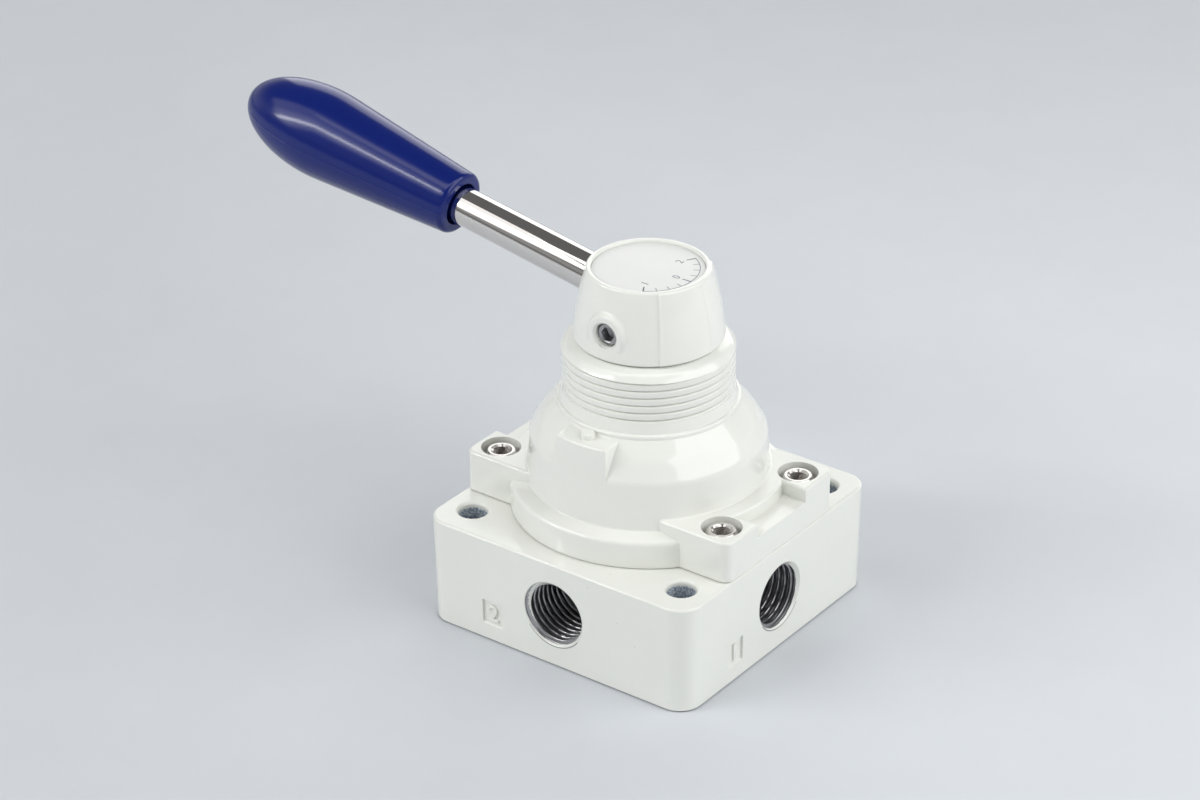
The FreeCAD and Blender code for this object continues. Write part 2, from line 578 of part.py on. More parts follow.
    rounded(body, block, "0.8 * Dim.cast_edge", "pin_edge", level_edge(pin_top))

    # chamber, seal groove and bearing bore
    sketch = new_sketch(body, "XZ_Plane", "chamber_profile")
    shoulder = CEILING + " - 1.5 * Dim.roof_corner"
    bore = "(Dim.shaft / 2 + Dim.shaft_gap)"
    seal = "(Dim.shaft / 2 + Dim.shaft_seal_cord + 2 * Dim.seal_gap)"
    seal_top = SHAFT_SEAL_FOOT + " + Dim.shaft_seal_cord + 2 * Dim.seal_gap"
    outline(sketch, [
        ("0", "Dim.base_height - Dim.cover_wall"),
        (CHAMBER_RADIUS, "Dim.base_height - Dim.cover_wall"),
        (CHAMBER_RADIUS, shoulder),
        (CHAMBER_RADIUS + " - Dim.roof_corner", CEILING),
        (bore, CEILING),
        (bore, SHAFT_SEAL_FOOT),
        (seal, SHAFT_SEAL_FOOT),
        (seal, seal_top),
        (bore, seal_top),
        (bore, BUSH_FOOT),
        (BUSH_RADIUS, BUSH_FOOT),
        (BUSH_RADIUS, COLLAR_TOP + " + Dim.collar_rise"),
        ("0", COLLAR_TOP + " + Dim.collar_rise"),
    ])
    turned(body, sketch, "chamber", cut=True)

    sketch = new_sketch(body, "XY_Plane", "counterbore_circles", PLATE_TOP)
    for x, y in corner_places(SCREW_X, SCREW_Y):
        circle(sketch, "Dim.screw_head + 2 * Dim.counterbore_play", x, y)
    pocket(body, sketch, PLATE_TOP + " - " + WASHER_SEAT, "counterbores")
    sketch = new_sketch(body, "XY_Plane", "screw_circles", PLATE_TOP)
    for x, y in corner_places(SCREW_X, SCREW_Y):
        circle(sketch, "Dim.screw_thread + 2 * Dim.bolt_clearance", x, y)
    last = pocket(body, sketch, "2 * Dim.cover_height", "screw_holes")

    # three notches for each detent ball
    for side_name, side_angle in (("left", 180), ("right", 0)):
        for step in (-1, 0, 1):
            notch = body.newObject("PartDesign::SubtractiveSphere", "notch_%s_%d" % (side_name, step + 1))
            angle = "(%d + %d * Dim.notch_angle) * 1 deg" % (side_angle, step)
            notch.setExpression("Radius", "Dim.ball / 2 + Dim.ball_gap")
            notch.setExpression("Placement.Base.x", "%s * cos(%s)" % (BALL_RADIUS, angle))
            notch.setExpression("Placement.Base.y", "%s * sin(%s)" % (BALL_RADIUS, angle))
            notch.setExpression("Placement.Base.z", BALL_CENTRE + " + Dim.notch_depth")
            last = notch
    body.Tip = last
    return body


def make_seat_gasket():
    body = new_body("seat_gasket")
    sketch = new_sketch(body, "XY_Plane", "gasket_circles", "Dim.base_height - Dim.seat_thickness")
    circle(sketch, "Dim.seat_diameter")
    for x, y in (("Dim.passage_radius", "0"), ("0", "Dim.passage_radius"),
                 ("-Dim.passage_radius", "0"), ("0", "-Dim.passage_radius")):
        circle(sketch, "Dim.passage", x, y)
    pad(body, sketch, "Dim.seat_thickness", "gasket_sheet")
    return body


def make_ring(label, mean, cord, height):
    """O-ring lying level."""
    ring = doc.addObject("Part::Torus", label)
    ring.Label = label
    ring.setExpression("Radius1", mean)
    ring.setExpression("Radius2", cord)
    ring.setExpression("Placement.Base.z", height)
    return ring


def make_cover_screws():
    screws = []
    for k, (x, y) in enumerate(corner_places(SCREW_X, SCREW_Y), 1):
        head = cylinder("head_%d" % k, "Dim.screw_head / 2", "Dim.screw_head_height", x, y, SCREW_SEAT)
        shank = cylinder("shank_%d" % k, "Dim.screw_thread / 2", "Dim.screw_length", x, y,
                         SCREW_SEAT + " - Dim.screw_length")
        socket = doc.addObject("Part::Prism", "socket_%d" % k)
        socket.Polygon = 6
        socket.setExpression("Circumradius", "Dim.screw_socket / sqrt(3)")
        socket.setExpression("Height", "Dim.screw_head_height")
        socket.setExpression("Placement.Base.x", x)
        socket.setExpression("Placement.Base.y", y)
        socket.setExpression("Placement.Base.z", SCREW_SEAT + " + Dim.screw_head_height / 2")
        screws.append(cut("screw_%d" % k, fuse("blank_%d" % k, [head, shank]), socket))
    return group("cover_screws", screws)


def make_lock_washers():
    washers = []
    for k, (x, y) in enumerate(corner_places(SCREW_X, SCREW_Y), 1):
        ring = cylinder("washer_rim_%d" % k, "Dim.screw_head / 2", "Dim.washer_height", x, y, WASHER_SEAT)
        hole = cylinder("washer_eye_%d" % k, "Dim.screw_thread / 2 + Dim.bolt_clearance",
                        "Dim.washer_height", x, y, WASHER_SEAT)
        split = doc.addObject("Part::Box", "washer_split_%d" % k)
        split.setExpression("Length", "Dim.screw_head")
        split.setExpression("Width", "Dim.washer_gap")
        split.setExpression("Height", "Dim.washer_height")
        split.setExpression("Placement.Base.x", x)
        split.setExpression("Placement.Base.y", y)
        split.setExpression("Placement.Base.z", WASHER_SEAT)
        washers.append(cut("washer_%d" % k, cut("washer_ring_%d" % k, ring, hole), split))
    return group("lock_washers", washers)


def make_tube(label, outer, inner, height, foot):
    """Plain round tube on the Z axis."""
    item = cut(label, cylinder(label + "_rim", outer, height, z=foot),
               cylinder(label + "_eye", inner, height, z=foot))
    item.Label = label
    return item


def make_spindle():
    body = new_body("spindle")
    sketch = new_sketch(body, "XZ_Plane", "spindle_profile")
    outline(sketch, [
        ("0", SPINDLE_FOOT),
        ("Dim.spindle_flange / 2", SPINDLE_FOOT),
        ("Dim.spindle_flange / 2", SPINDLE_TOP),
        ("Dim.shaft / 2", SPINDLE_TOP),
        ("Dim.shaft / 2", SHAFT_TOP + " - Dim.cast_edge"),
        ("Dim.shaft / 2 - Dim.cast_edge", SHAFT_TOP),
        ("0", SHAFT_TOP),
    ])
    turned(body, sketch, "spindle_turned")
    sketch = new_sketch(body, "XY_Plane", "flat_outline", SET_HEIGHT + " - Dim.set_thread")
    box_outline(sketch, "Dim.shaft / 2", "Dim.flat_depth / 2", y="-(Dim.shaft - Dim.flat_depth) / 2")
    pocket(body, sketch, "%s - %s + 2 * Dim.set_thread" % (SHAFT_TOP, SET_HEIGHT), "shaft_flat", upward=True)
    sketch = new_sketch(body, "XY_Plane", "ball_circles", SPINDLE_TOP)
    circle(sketch, "Dim.ball + 2 * Dim.ball_gap", x=BALL_RADIUS)
    circle(sketch, "Dim.ball + 2 * Dim.ball_gap", x="-" + BALL_RADIUS)
    pocket(body, sketch, SPINDLE_TOP + " - " + BALL_HOLE_FOOT, "ball_holes")
    sketch = new_sketch(body, "XY_Plane", "pin_circles", SPINDLE_FOOT)
    circle(sketch, "Dim.drive_pin", y=PIN_RADIUS)
    circle(sketch, "Dim.drive_pin", y="-" + PIN_RADIUS)
    pocket(body, sketch, "Dim.drive_pin_reach", "pin_holes", upward=True)
    return body


def make_rotary_disc():
    body = new_body("rotary_disc")
    sketch = new_sketch(body, "XZ_Plane", "disc_profile")
    outline(sketch, [
        ("0", DISC_FOOT),
        (DISC_RADIUS, DISC_FOOT),
        (DISC_RADIUS, DISC_TOP),
        ("Dim.spring_bore / 2", DISC_TOP),
        ("Dim.spring_bore / 2", DISC_TOP + " - Dim.spring_bore_depth"),
        ("0", DISC_TOP + " - Dim.spring_bore_depth"),
    ])
    turned(body, sketch, "disc_turned")
    # kidney pocket: part of a ring, with a round end on each side
    sketch = new_sketch(body, "XZ_Plane", "kidney_section")
    box_outline(sketch, "Dim.slot_width / 2", "Dim.slot_depth / 2", x="Dim.passage_radius",
                y=DISC_FOOT + " + Dim.slot_depth / 2")
    middle = turned(body, sketch, "kidney_middle", cut=True)
    middle.Midplane = True
    middle.setExpression("Angle", "Dim.slot_sweep")
    sketch = new_sketch(body, "XY_Plane", "kidney_ends", DISC_FOOT)
    end_x = "Dim.passage_radius * cos(Dim.slot_sweep / 2 * 1 deg)"
    end_y = "Dim.passage_radius * sin(Dim.slot_sweep / 2 * 1 deg)"
    circle(sketch, "Dim.slot_width", end_x, end_y)
    circle(sketch, "Dim.slot_width", end_x, "-" + end_y)
    ends = pocket(body, sketch, "Dim.slot_depth", "kidney_ends_cut", upward=True)
    mirrored(body, [middle, ends], "kidneys", "YZ_Plane")
    sketch = new_sketch(body, "XY_Plane", "pin_circles", DISC_TOP)
    circle(sketch, "Dim.drive_pin + 2 * Dim.thread_clearance", y=PIN_RADIUS)
    circle(sketch, "Dim.drive_pin + 2 * Dim.thread_clearance", y="-" + PIN_RADIUS)
    body.Tip = pocket(body, sketch, "Dim.drive_pin_reach", "pin_holes")
    return body


def make_drive_pins():
    foot = DISC_TOP + " - Dim.drive_pin_reach + Dim.slide_gap"
    height = SPINDLE_FOOT + " + Dim.drive_pin_reach - (" + foot + ")"
    pins = [cylinder("drive_pin_%d" % k, "Dim.drive_pin / 2", height, y=y, z=foot)
            for k, y in enumerate((PIN_RADIUS, "-" + PIN_RADIUS), 1)]
    return group("drive_pins", pins)


def make_spring(label, x, coil, wire, turns, foot, top):
    """Coil spring with its axis upright: half rings, each tilted about Y so that it climbs half a pitch.

    Every half ring meets the next one square to the Y axis, so the wire runs on smoothly.
    """
    halves = int(round(2 * number(turns)))
    foot = "(%s)" % foot
    rise = "((%s - %s - %s) / %d)" % (top, foot, wire, halves)
    lean = math.degrees(math.atan2(number(rise) / 2, number(coil)))
    rings = []
    for k in range(halves):
        ring = doc.addObject("Part::Torus", "%s_ring_%d" % (label, k))
        ring.Angle3 = 180
        ring.setExpression("Radius1", "sqrt((%s) ^ 2 + %s ^ 2 / 4)" % (coil, rise))
        ring.setExpression("Radius2", "%s / 2" % wire)
        back = FreeCAD.Rotation(V(0, 0, 1), 180 * (k % 2))
        ring.Placement.Rotation = FreeCAD.Rotation(Y_AXIS, lean if k % 2 == 0 else -lean) * back
        ring.setExpression("Placement.Base.x", x)
        ring.setExpression("Placement.Base.z", "%s + %s / 2 + %s * %s" % (foot, wire, rise, k + 0.5))
        rings.append(ring)
    spring = fuse(label, rings)
    spring.Label = label
    return spring


def make_ball(label, x):
    ball = doc.addObject("Part::Sphere", label)
    ball.Label = label
    ball.setExpression("Radius", "Dim.ball / 2")
    ball.setExpression("Placement.Base.x", x)
    ball.setExpression("Placement.Base.z", BALL_CENTRE)
    return ball


def make_lever_head():
    body = new_body("lever_head")
    sketch = new_sketch(body, "XZ_Plane", "head_profile")
    outline(sketch, [
        ("0", HEAD_FOOT),
        ("Dim.head_foot / 2", HEAD_FOOT),
        ("Dim.head_waist / 2", HEAD_FOOT + " + Dim.head_bend"),
        ("Dim.head_rim / 2", HEAD_TOP),
        ("0", HEAD_TOP),
    ])
    solid = turned(body, sketch, "head_turned")
    rounded(body, solid, "Dim.cast_edge", "head_edges", lambda edge: (
        ring_edge(number(HEAD_TOP), number("Dim.head_rim / 2"))(edge)
        or ring_edge(number(HEAD_FOOT), number("Dim.head_foot / 2"))(edge)))

    sketch = new_sketch(body, "XZ_Plane", "set_boss_circle")
    circle(sketch, "Dim.set_boss", y=SET_HEIGHT)
    pad(body, sketch, BOSS_FACE, "set_boss")

    sketch = new_sketch(body, "XY_Plane", "dish_circle", HEAD_TOP)
    circle(sketch, "Dim.head_rim - 2 * Dim.rim_wall")
    pocket(body, sketch, "Dim.head_dish_depth", "dish")
    sketch = new_sketch(body, "XY_Plane", "hollow_circles", HEAD_FOOT)
    circle(sketch, "Dim.head_foot - 2 * Dim.foot_wall")
    circle(sketch, "Dim.head_hub")
    pocket(body, sketch, "Dim.head_hollow_depth", "foot_hollow", upward=True)
    sketch = new_sketch(body, "XY_Plane", "shaft_circle", HEAD_FOOT)
    circle(sketch, "Dim.shaft + 2 * Dim.thread_clearance")
    pocket(body, sketch, "%s + Dim.slide_gap - %s" % (SHAFT_TOP, HEAD_FOOT), "shaft_bore", upward=True)
    sketch = new_sketch(body, "XZ_Plane", "set_circle")
    circle(sketch, "Dim.set_thread", y=SET_HEIGHT)
    pocket(body, sketch, BOSS_FACE + " + Dim.set_boss_in", "set_hole", upward=True)
    hole = body.newObject("PartDesign::SubtractiveCylinder", "rod_hole")
    hole.setExpression("Radius", "Dim.rod / 2 + Dim.thread_clearance")
    hole.setExpression("Height", "Dim.head_foot")
    along_lever(hole, ROD_START + " - Dim.slide_gap")
    body.Tip = hole
    return body


def make_head_set_screw():
    flat = "(Dim.shaft / 2 - Dim.flat_depth + Dim.slide_gap)"
    blank = doc.addObject("Part::Cylinder", "set_screw_blank")
    blank.setExpression("Radius", "Dim.set_thread / 2 - Dim.thread_clearance")
    blank.setExpression("Height", "Dim.set_length")
    socket = doc.addObject("Part::Prism", "set_screw_socket")
    socket.Polygon = 6
    socket.setExpression("Circumradius", "Dim.set_socket / sqrt(3)")
    socket.setExpression("Height", "Dim.set_length")
    for item, start in ((blank, flat), (socket, flat + " + Dim.set_length - Dim.set_socket_depth")):
        item.Placement.Rotation = FreeCAD.Rotation(X_AXIS, 90)
        item.setExpression("Placement.Base.y", "-(%s)" % start)
        item.setExpression("Placement.Base.z", SET_HEIGHT)
    screw = cut("head_set_screw", blank, socket)
    screw.Label = "head_set_screw"
    return screw


def make_dial_plate():
    plate = cylinder("dial_plate", "Dim.head_rim / 2 - Dim.rim_wall - Dim.plate_gap",
                     "Dim.plate_thickness", z=DISH_FLOOR)
    plate.Label = "dial_plate"
    return plate


def make_lever_rod():
    rod = doc.addObject("Part::Cylinder", "rod_plain")
    rod.setExpression("Radius", "Dim.rod / 2")
    rod.setExpression("Height", "%s - Dim.slide_gap - %s" % (INSERT_START, ROD_START))
    along_lever(rod, ROD_START)
    end = doc.addObject("Part::Cylinder", "rod_end")
    end.setExpression("Radius", "Dim.rod_thread / 2")
    end.setExpression("Height", "%s + Dim.insert_length - Dim.slide_gap - %s" % (INSERT_START, ROD_START))
    along_lever(end, ROD_START)
    whole = fuse("lever_rod", [rod, end])
    whole.Label = "lever_rod"
    return whole


def make_grip():
    body = new_body("grip")
    along_lever(body)
    # tangent cone and ellipsoid: the cone meets the ellipsoid where both have the grip's taper
    share = "sqrt((Dim.grip_diameter / 2) ^ 2 + (Dim.grip_taper * Dim.grip_tip) ^ 2)"
    meet = "(%s - Dim.grip_taper * Dim.grip_tip ^ 2 / %s)" % (GRIP_CENTRE, share)
    meet_radius = "((Dim.grip_diameter / 2) ^ 2 / %s)" % share
    cone = body.newObject("PartDesign::AdditiveCone", "grip_side")
    cone.setExpression("Height", meet + " - Dim.grip_mouth")
    cone.setExpression("Radius1", "%s - Dim.grip_taper * (%s - Dim.grip_mouth)" % (meet_radius, meet))
    cone.setExpression("Radius2", meet_radius)
    cone.setExpression("Placement.Base.z", "Dim.grip_mouth")
    tip = body.newObject("PartDesign::AdditiveEllipsoid", "grip_tip")
    tip.setExpression("Radius1", "Dim.grip_tip")
    tip.setExpression("Radius2", "Dim.grip_diameter / 2")
    tip.setExpression("Radius3", "Dim.grip_diameter / 2")
    tip.setExpression("Placement.Base.z", GRIP_CENTRE)
    mouth = number("Dim.grip_mouth")
    solid = rounded(body, tip, "Dim.grip_lip", "grip_lip", lambda edge: (
        abs(edge.BoundBox.ZLength) < 0.01 and abs(edge.BoundBox.ZMin - mouth) < 0.01))
    for label, radius, start, length in (
            ("mouth_bore", "Dim.rod / 2 + Dim.grip_play", "Dim.grip_mouth", "Dim.insert_sink"),
            ("insert_bore", "Dim.insert_diameter / 2", INSERT_START, "Dim.insert_length")):
        solid = body.newObject("PartDesign::SubtractiveCylinder", label)
        solid.setExpression("Radius", radius)
        solid.setExpression("Height", length)
        solid.setExpression("Placement.Base.z", start)
    body.Tip = solid
    return body


def make_grip_insert():
    tube = doc.addObject("Part::Cylinder", "insert_rim")
    tube.setExpression("Radius", "Dim.insert_diameter / 2")
    eye = doc.addObject("Part::Cylinder", "insert_eye")
    eye.setExpression("Radius", "Dim.rod_thread / 2 + Dim.thread_clearance")
    for item in (tube, eye):
        item.setExpression("Height", "Dim.insert_length")
        along_lever(item, INSERT_START)
    insert = cut("grip_insert", tube, eye)
    insert.Label = "grip_insert"
    return insert


def make_all():
    shaft_seal_z = SHAFT_SEAL_FOOT + " + Dim.shaft_seal_cord / 2 + Dim.seal_gap"
    spring_foot = DISC_TOP + " - Dim.spring_bore_depth"
    spring_coil = "Dim.spring_bore / 2 - Dim.spring_wire"
    ball_coil = "Dim.ball / 2 - Dim.ball_wire"
    ball_foot = BALL_CENTRE + " - Dim.ball / 2 - Dim.slide_gap"
    return [
        make_base_body(),
        make_cover_housing(),
        make_seat_gasket(),
        make_ring("body_o_ring", BODY_SEAL_RADIUS, "Dim.body_seal_cord / 2",
                  "Dim.base_height - Dim.body_seal_cord / 2 - Dim.seal_gap"),
        make_cover_screws(),
        make_lock_washers(),
        make_tube("spindle_bush", BUSH_RADIUS, "Dim.shaft / 2 + Dim.running_gap",
                  "Dim.bush_length", BUSH_FOOT),
        make_ring("spindle_o_ring", "Dim.shaft / 2 + Dim.seal_gap + Dim.shaft_seal_cord / 2",
                  "Dim.shaft_seal_cord / 2", shaft_seal_z),
        make_spindle(),
        make_tube("thrust_washer", BALL_RADIUS + " - Dim.ball / 2 - Dim.thrust_margin",
                  "Dim.shaft / 2 + Dim.shaft_gap", "Dim.thrust_height",
                  SPINDLE_TOP + " + Dim.slide_gap"),
        make_rotary_disc(),
        make_drive_pins(),
        make_spring("disc_spring", "0", spring_coil, "Dim.spring_wire", "Dim.spring_turns",
                    spring_foot, SPINDLE_FOOT),
        make_ball("detent_ball_left", "-" + BALL_RADIUS),
        make_ball("detent_ball_right", BALL_RADIUS),
        make_spring("detent_spring_left", "-" + BALL_RADIUS, ball_coil, "Dim.ball_wire",
                    "Dim.ball_turns", BALL_HOLE_FOOT, ball_foot),
        make_spring("detent_spring_right", BALL_RADIUS, ball_coil, "Dim.ball_wire",
                    "Dim.ball_turns", BALL_HOLE_FOOT, ball_foot),
        make_lever_head(),
        make_head_set_screw(),
        make_dial_plate(),
        make_lever_rod(),
        make_grip(),
        make_grip_insert(),
    ]


pieces = make_all()
doc.recompute()
for item in doc.Objects:
    if "Invalid" in item.State or "Error" in item.State:
        raise RuntimeError("%s failed: %s" % (item.Label, item.State))
for piece in pieces:
    if piece.Shape.isNull() or not piece.Shape.isValid() or piece.Shape.Volume <= 0:
        raise RuntimeError("%s has no valid shape" % piece.Label)
os.makedirs("parts", exist_ok=True)
for piece in pieces:
    piece.Shape.exportStep(os.path.join("parts", piece.Label + ".step"))
    box = piece.Shape.BoundBox
    print("%-20s %d solids, %9.1f mm3, x %.2f..%.2f y %.2f..%.2f z %.2f..%.2f" % (
        piece.Label, len(piece.Shape.Solids), piece.Shape.Volume,
        box.XMin, box.XMax, box.YMin, box.YMax, box.ZMin, box.ZMax))
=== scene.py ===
"""Hand lever air valve: the finished look of each visible piece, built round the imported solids.

Lengths in the tables are millimetres, and MM turns them into metres. Z is up, the base stands on
z = 0, the lever points to -X and leans up by LEVER_TILT. An azimuth is 0 at -Y and 90 at +X.
"""

import math

import bmesh
import bpy
import numpy as np
from bpy.props import FloatProperty, FloatVectorProperty, PointerProperty
from mathutils import Matrix, Vector


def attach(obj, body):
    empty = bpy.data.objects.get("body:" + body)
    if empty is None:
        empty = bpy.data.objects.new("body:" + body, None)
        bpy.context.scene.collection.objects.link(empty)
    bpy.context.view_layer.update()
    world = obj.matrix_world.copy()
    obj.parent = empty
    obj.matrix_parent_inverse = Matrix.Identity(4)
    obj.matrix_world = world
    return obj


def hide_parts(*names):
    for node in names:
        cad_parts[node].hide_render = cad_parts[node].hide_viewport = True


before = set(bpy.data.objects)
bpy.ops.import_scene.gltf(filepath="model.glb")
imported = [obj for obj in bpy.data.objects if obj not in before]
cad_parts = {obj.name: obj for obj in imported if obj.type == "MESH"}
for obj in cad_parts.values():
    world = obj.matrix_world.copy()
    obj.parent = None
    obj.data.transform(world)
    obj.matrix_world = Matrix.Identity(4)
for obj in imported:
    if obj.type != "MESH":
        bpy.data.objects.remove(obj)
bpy.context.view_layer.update()

bl_info = {
    "name": "Hand Lever Air Valve",
    "version": (1, 0, 0),
    "blender": (4, 5, 0),
    "location": "View3D > Sidebar > Valve",
    "description": "Builds the finished pieces, materials and stage of a rotary hand valve",
    "category": "Object",
}

MM = 0.001
TURN = 2 * math.pi
CLOSE = 0.01

# Base
BASE_TOP = 21.5
BASE_HALF = 30.0
BASE_DRAFT = math.tan(math.radians(0.8))
SEAT_RADIUS = 22.5
SEAT_DEPTH = 3
MOUNT_PLACES = [(x, y) for x in (-23.85, 23.85) for y in (-22.9, 22.9)]
MOUNT_RADIUS = 2.75
PAINT_DEPTH = 0.45
BARE, MACHINED = 1, 2

# Ports: letter, quarters of a turn from -Y, number beside it
PORTS = (("b", 0, "2"), ("p", 1, "1"), ("a", 2, "4"), ("r", 3, "3"))
PORT_HEIGHT = 10.75
PORT_FACE = BASE_HALF - (BASE_TOP - PORT_HEIGHT) * BASE_DRAFT
PORT_ROOT = 6.58
PORT_CREST = 5.78
PORT_MOUTH = 6.68
PORT_OUTER = 6.885
PORT_WALL = 0.2
PORT_CHAMFER = 0.95
PORT_DEPTH = 11.9
CHAMFER_SLOPE = (PORT_MOUTH - PORT_CREST) / PORT_CHAMFER

# Sunk panels with the port numbers
MARK_OFFSET = 14.2
MARK_CENTRE = 5.7
MARK_REACH = 4
MARK_FACE = BASE_HALF - (BASE_TOP - MARK_CENTRE) * BASE_DRAFT
MARK_DEPTH = 0.25
MARK_SUNK = 0.46
MARK_LIP = 0.3
MARK_SIZE = 4.7
MARK_EDGE = 0.12

# Cover
JOINT_GAP = 0.2
SKIRT_RADIUS = 22.5
RIM_RADIUS = 22.7
RIM_LEVEL = 26.85
RIM_BAND = 0.45
RIM_FALL = 0.6
LUG_REACH = 17.3
CHAMBER_RADIUS = 19.3
CHAMBER_TOP = 38.4
BUSH_BORE = 7.3
FLANGE_RADIUS = 25.91
DOME_RADIUS = 22.804
DOME_LEVEL = 27.1
DOME_DRAFT = 0.0735
DOME_FOOT = 27.7
DOME_WALL_TOP = 36.9
CONE_RADIUS = 17.2
CONE_TOP = 43.34
COLLAR_FOOT = 46.3
COLLAR_TOP = 54.3
COLLAR_RADIUS = 16.0
COLLAR_INNER = 15.2
COLLAR_START = 46.62
COLLAR_AZIMUTH = math.radians(37)

# Cover screws and washers
SCREW_PLACES = [(x, y) for x in (-25.2, 25.2) for y in (-12.3, 12.3)]
SCREW_SEAT = 25.25
SCREW_TOP = 29.25
SCREW_LENGTH = 12
SCREW_FLATS = 3.0
# Ring of each screw head's top that keeps the plain nickel; inside and outside it the nickel is darkened as
# painted shade
BRIGHT_RING = (2.2, 2.55)
WASHER_SEAT = 24.35
WASHER_INNER = 2.2
WASHER_OUTER = 3.45
WASHER_THICK = 0.78

# Lever head
HEAD_FOOT = 56.6
HEAD_TOP = 70.2
HEAD_RADIUS = 14.05
HEAD_TOP_RADIUS = 11.5
HEAD_BORE = 5.05
HEAD_BORE_TOP = 66.45
HUB_RADIUS = 8.5
HOLLOW_RADIUS = 12.1
HOLLOW_TOP = 58.2
PANEL_EDGES = (44.2, 135.8)
PANEL_CRESTS = (45.6, 134.4)
MOULD_SEAMS = (90, 270)
FINE_AZIMUTHS = (44.75, 90, 135.25, 270)
BOSS_RADIUS = 4.45

# Dial, set in a dish in the head's top
DISH_FLOOR = 69.3
DISH_RADIUS = 10.45
PLATE_RADIUS = 10.4
PLATE_TOP = DISH_FLOOR + 0.3
TICK_RADIUS = 9.4
NUMBER_RADIUS = 6.2
NUMBER_SIZE = 2.2
INK_TOP = 0.02
INK_FOOT = -0.005

# Set screw
SET_HEIGHT = 61.3
SET_FACE = 13.45
SET_START = 4.3
SET_END = 12.6
SET_RADIUS = 2.24
SET_FLATS = 2.5
SET_PITCH = 0.8
SET_BORE = 2.3

# Lever: distances are from the head's axis, along the lever
LEVER_TILT = math.radians(10)
LEVER_HEIGHT = 62.6
LEVER_AXIS = (-math.cos(LEVER_TILT), 0, math.sin(LEVER_TILT))
ROD_RADIUS = 3.66
ROD_SEAT = 6.35
ROD_START = 6.45
ROD_SHOULDER = 47.0
ROD_END_RADIUS = 3.0
ROD_END = 60.9
GRIP_MOUTH = 43.9
GRIP_RADIUS = 8.75
GRIP_CENTRE = 77.65
GRIP_HALF = 17.85
GRIP_BEND = 74.55


def length(label, text, value):
    return FloatProperty(name=label, description=text, default=value * MM, unit="LENGTH")


def tint(label, text, value):
    return FloatVectorProperty(name=label, description=text, subtype="COLOR", size=3, default=value,
                               min=0, max=1)


def lamp(label, text, value):
    return FloatProperty(name=label, description="Radiance of " + text, default=value)


class ValveSizes(bpy.types.PropertyGroup):
    """Sizes of the finish that a user may change."""

    collar_pitch: length("Collar Pitch", "Distance between two turns of the collar's thread", 1.5)
    collar_depth: length("Collar Thread Depth", "Depth of the collar's thread", 0.58)
    port_pitch: length("Port Pitch", "Distance between two turns of the port threads", 1.337)
    panel_height: length("Head Panel", "Height of the raised panel on the back of the head", 0.2)
    peel_height: length("Paint Relief", "Height of the waves in the enamel", 0.012)


class ValveColours(bpy.types.PropertyGroup):
    """Colours that a user may change."""

    enamel: tint("Enamel", "Warm white enamel of the castings", (0.80, 0.812, 0.762))
    grip: tint("Grip", "Moulded blue plastic of the grip", (0.002, 0.011, 0.130))
    print_ink: tint("Dial Ink", "Grey ink of the dial's numbers and lines", (0.20, 0.21, 0.24))
    backdrop: tint("Floor", "Pale colour of the floor and of the space behind it", (0.668, 0.70, 0.735))


class ValveLights(bpy.types.PropertyGroup):
    """Brightness of the studio lamps."""

    key: lamp("Front Softbox", "the large softbox in front", 1.1)
    core: lamp("Softbox Core", "the tube behind the front softbox's cloth", 16.0)
    top: lamp("Top Softbox", "the softbox over the right shoulder", 2.1)
    side: lamp("Side Softbox", "the softbox on the right", 2.35)
    back: lamp("Back Panel", "the bright panel behind", 1.6)
    horizon: lamp("Room Horizon", "the room's walls, as an even light", 1.0)
    mirrored: lamp("Mirrored Horizon", "the room's walls as the gloss shows them", 0.6)
    ceiling: lamp("Room Ceiling", "the room's dark ceiling, as an even light", 0.15)


# Meshes

def rounded_line(corners, steps=5):
    """Profile through corners (radius, height, rounding).

    Each corner with a rounding f is replaced by the arc of radius f that touches both sides:
    it starts f / tan(half the angle) before the corner and ends as far behind it.
    """
    spots = np.array([c[:2] for c in corners], float)
    line = [spots[:1]]
    for k in range(1, len(corners) - 1):
        rounding = corners[k][2]
        corner = spots[k]
        if not rounding:
            line.append(corner[None])
            continue
        back = spots[k - 1] - corner
        ahead = spots[k + 1] - corner
        back, ahead = back / np.linalg.norm(back), ahead / np.linalg.norm(ahead)
        half = math.acos(np.clip(back @ ahead, -1, 1)) / 2
        middle = (back + ahead) / np.linalg.norm(back + ahead)
        centre = corner + middle * rounding / math.sin(half)
        first = corner + back * rounding / math.tan(half) - centre
        last = corner + ahead * rounding / math.tan(half) - centre
        sweep = math.pi - 2 * half
        share = np.linspace(0, 1, steps + 1)[:, None]
        arc = (np.sin((1 - share) * sweep) * first + np.sin(share * sweep) * last) / math.sin(sweep)
        line.append(centre + arc)
    line.append(spots[-1:])
    return np.concatenate(line)


def refined(line, step):
    """The same profile with points added so that none are further apart than step."""
    lengths = np.linalg.norm(np.diff(line, axis=0), axis=1)
    counts = np.maximum(1, np.ceil(lengths / step).astype(int))
    start = np.repeat(np.arange(len(counts)), counts)
    share = np.concatenate([np.arange(n) / n for n in counts])[:, None]
    return np.concatenate([line[start] * (1 - share) + line[start + 1] * share, line[-1:]])


def steps_round(count):
    """Evenly spaced angles once round."""
    return np.arange(count) * TURN / count


def angles(count, fine, width, extra):
    """Angles once round, evenly spaced, with a cluster of extra ones about each fine angle."""
    near = [np.mod(f + np.linspace(-width, width, extra), TURN) for f in fine]
    return np.unique(np.round(np.concatenate([steps_round(count), *near]), 6))


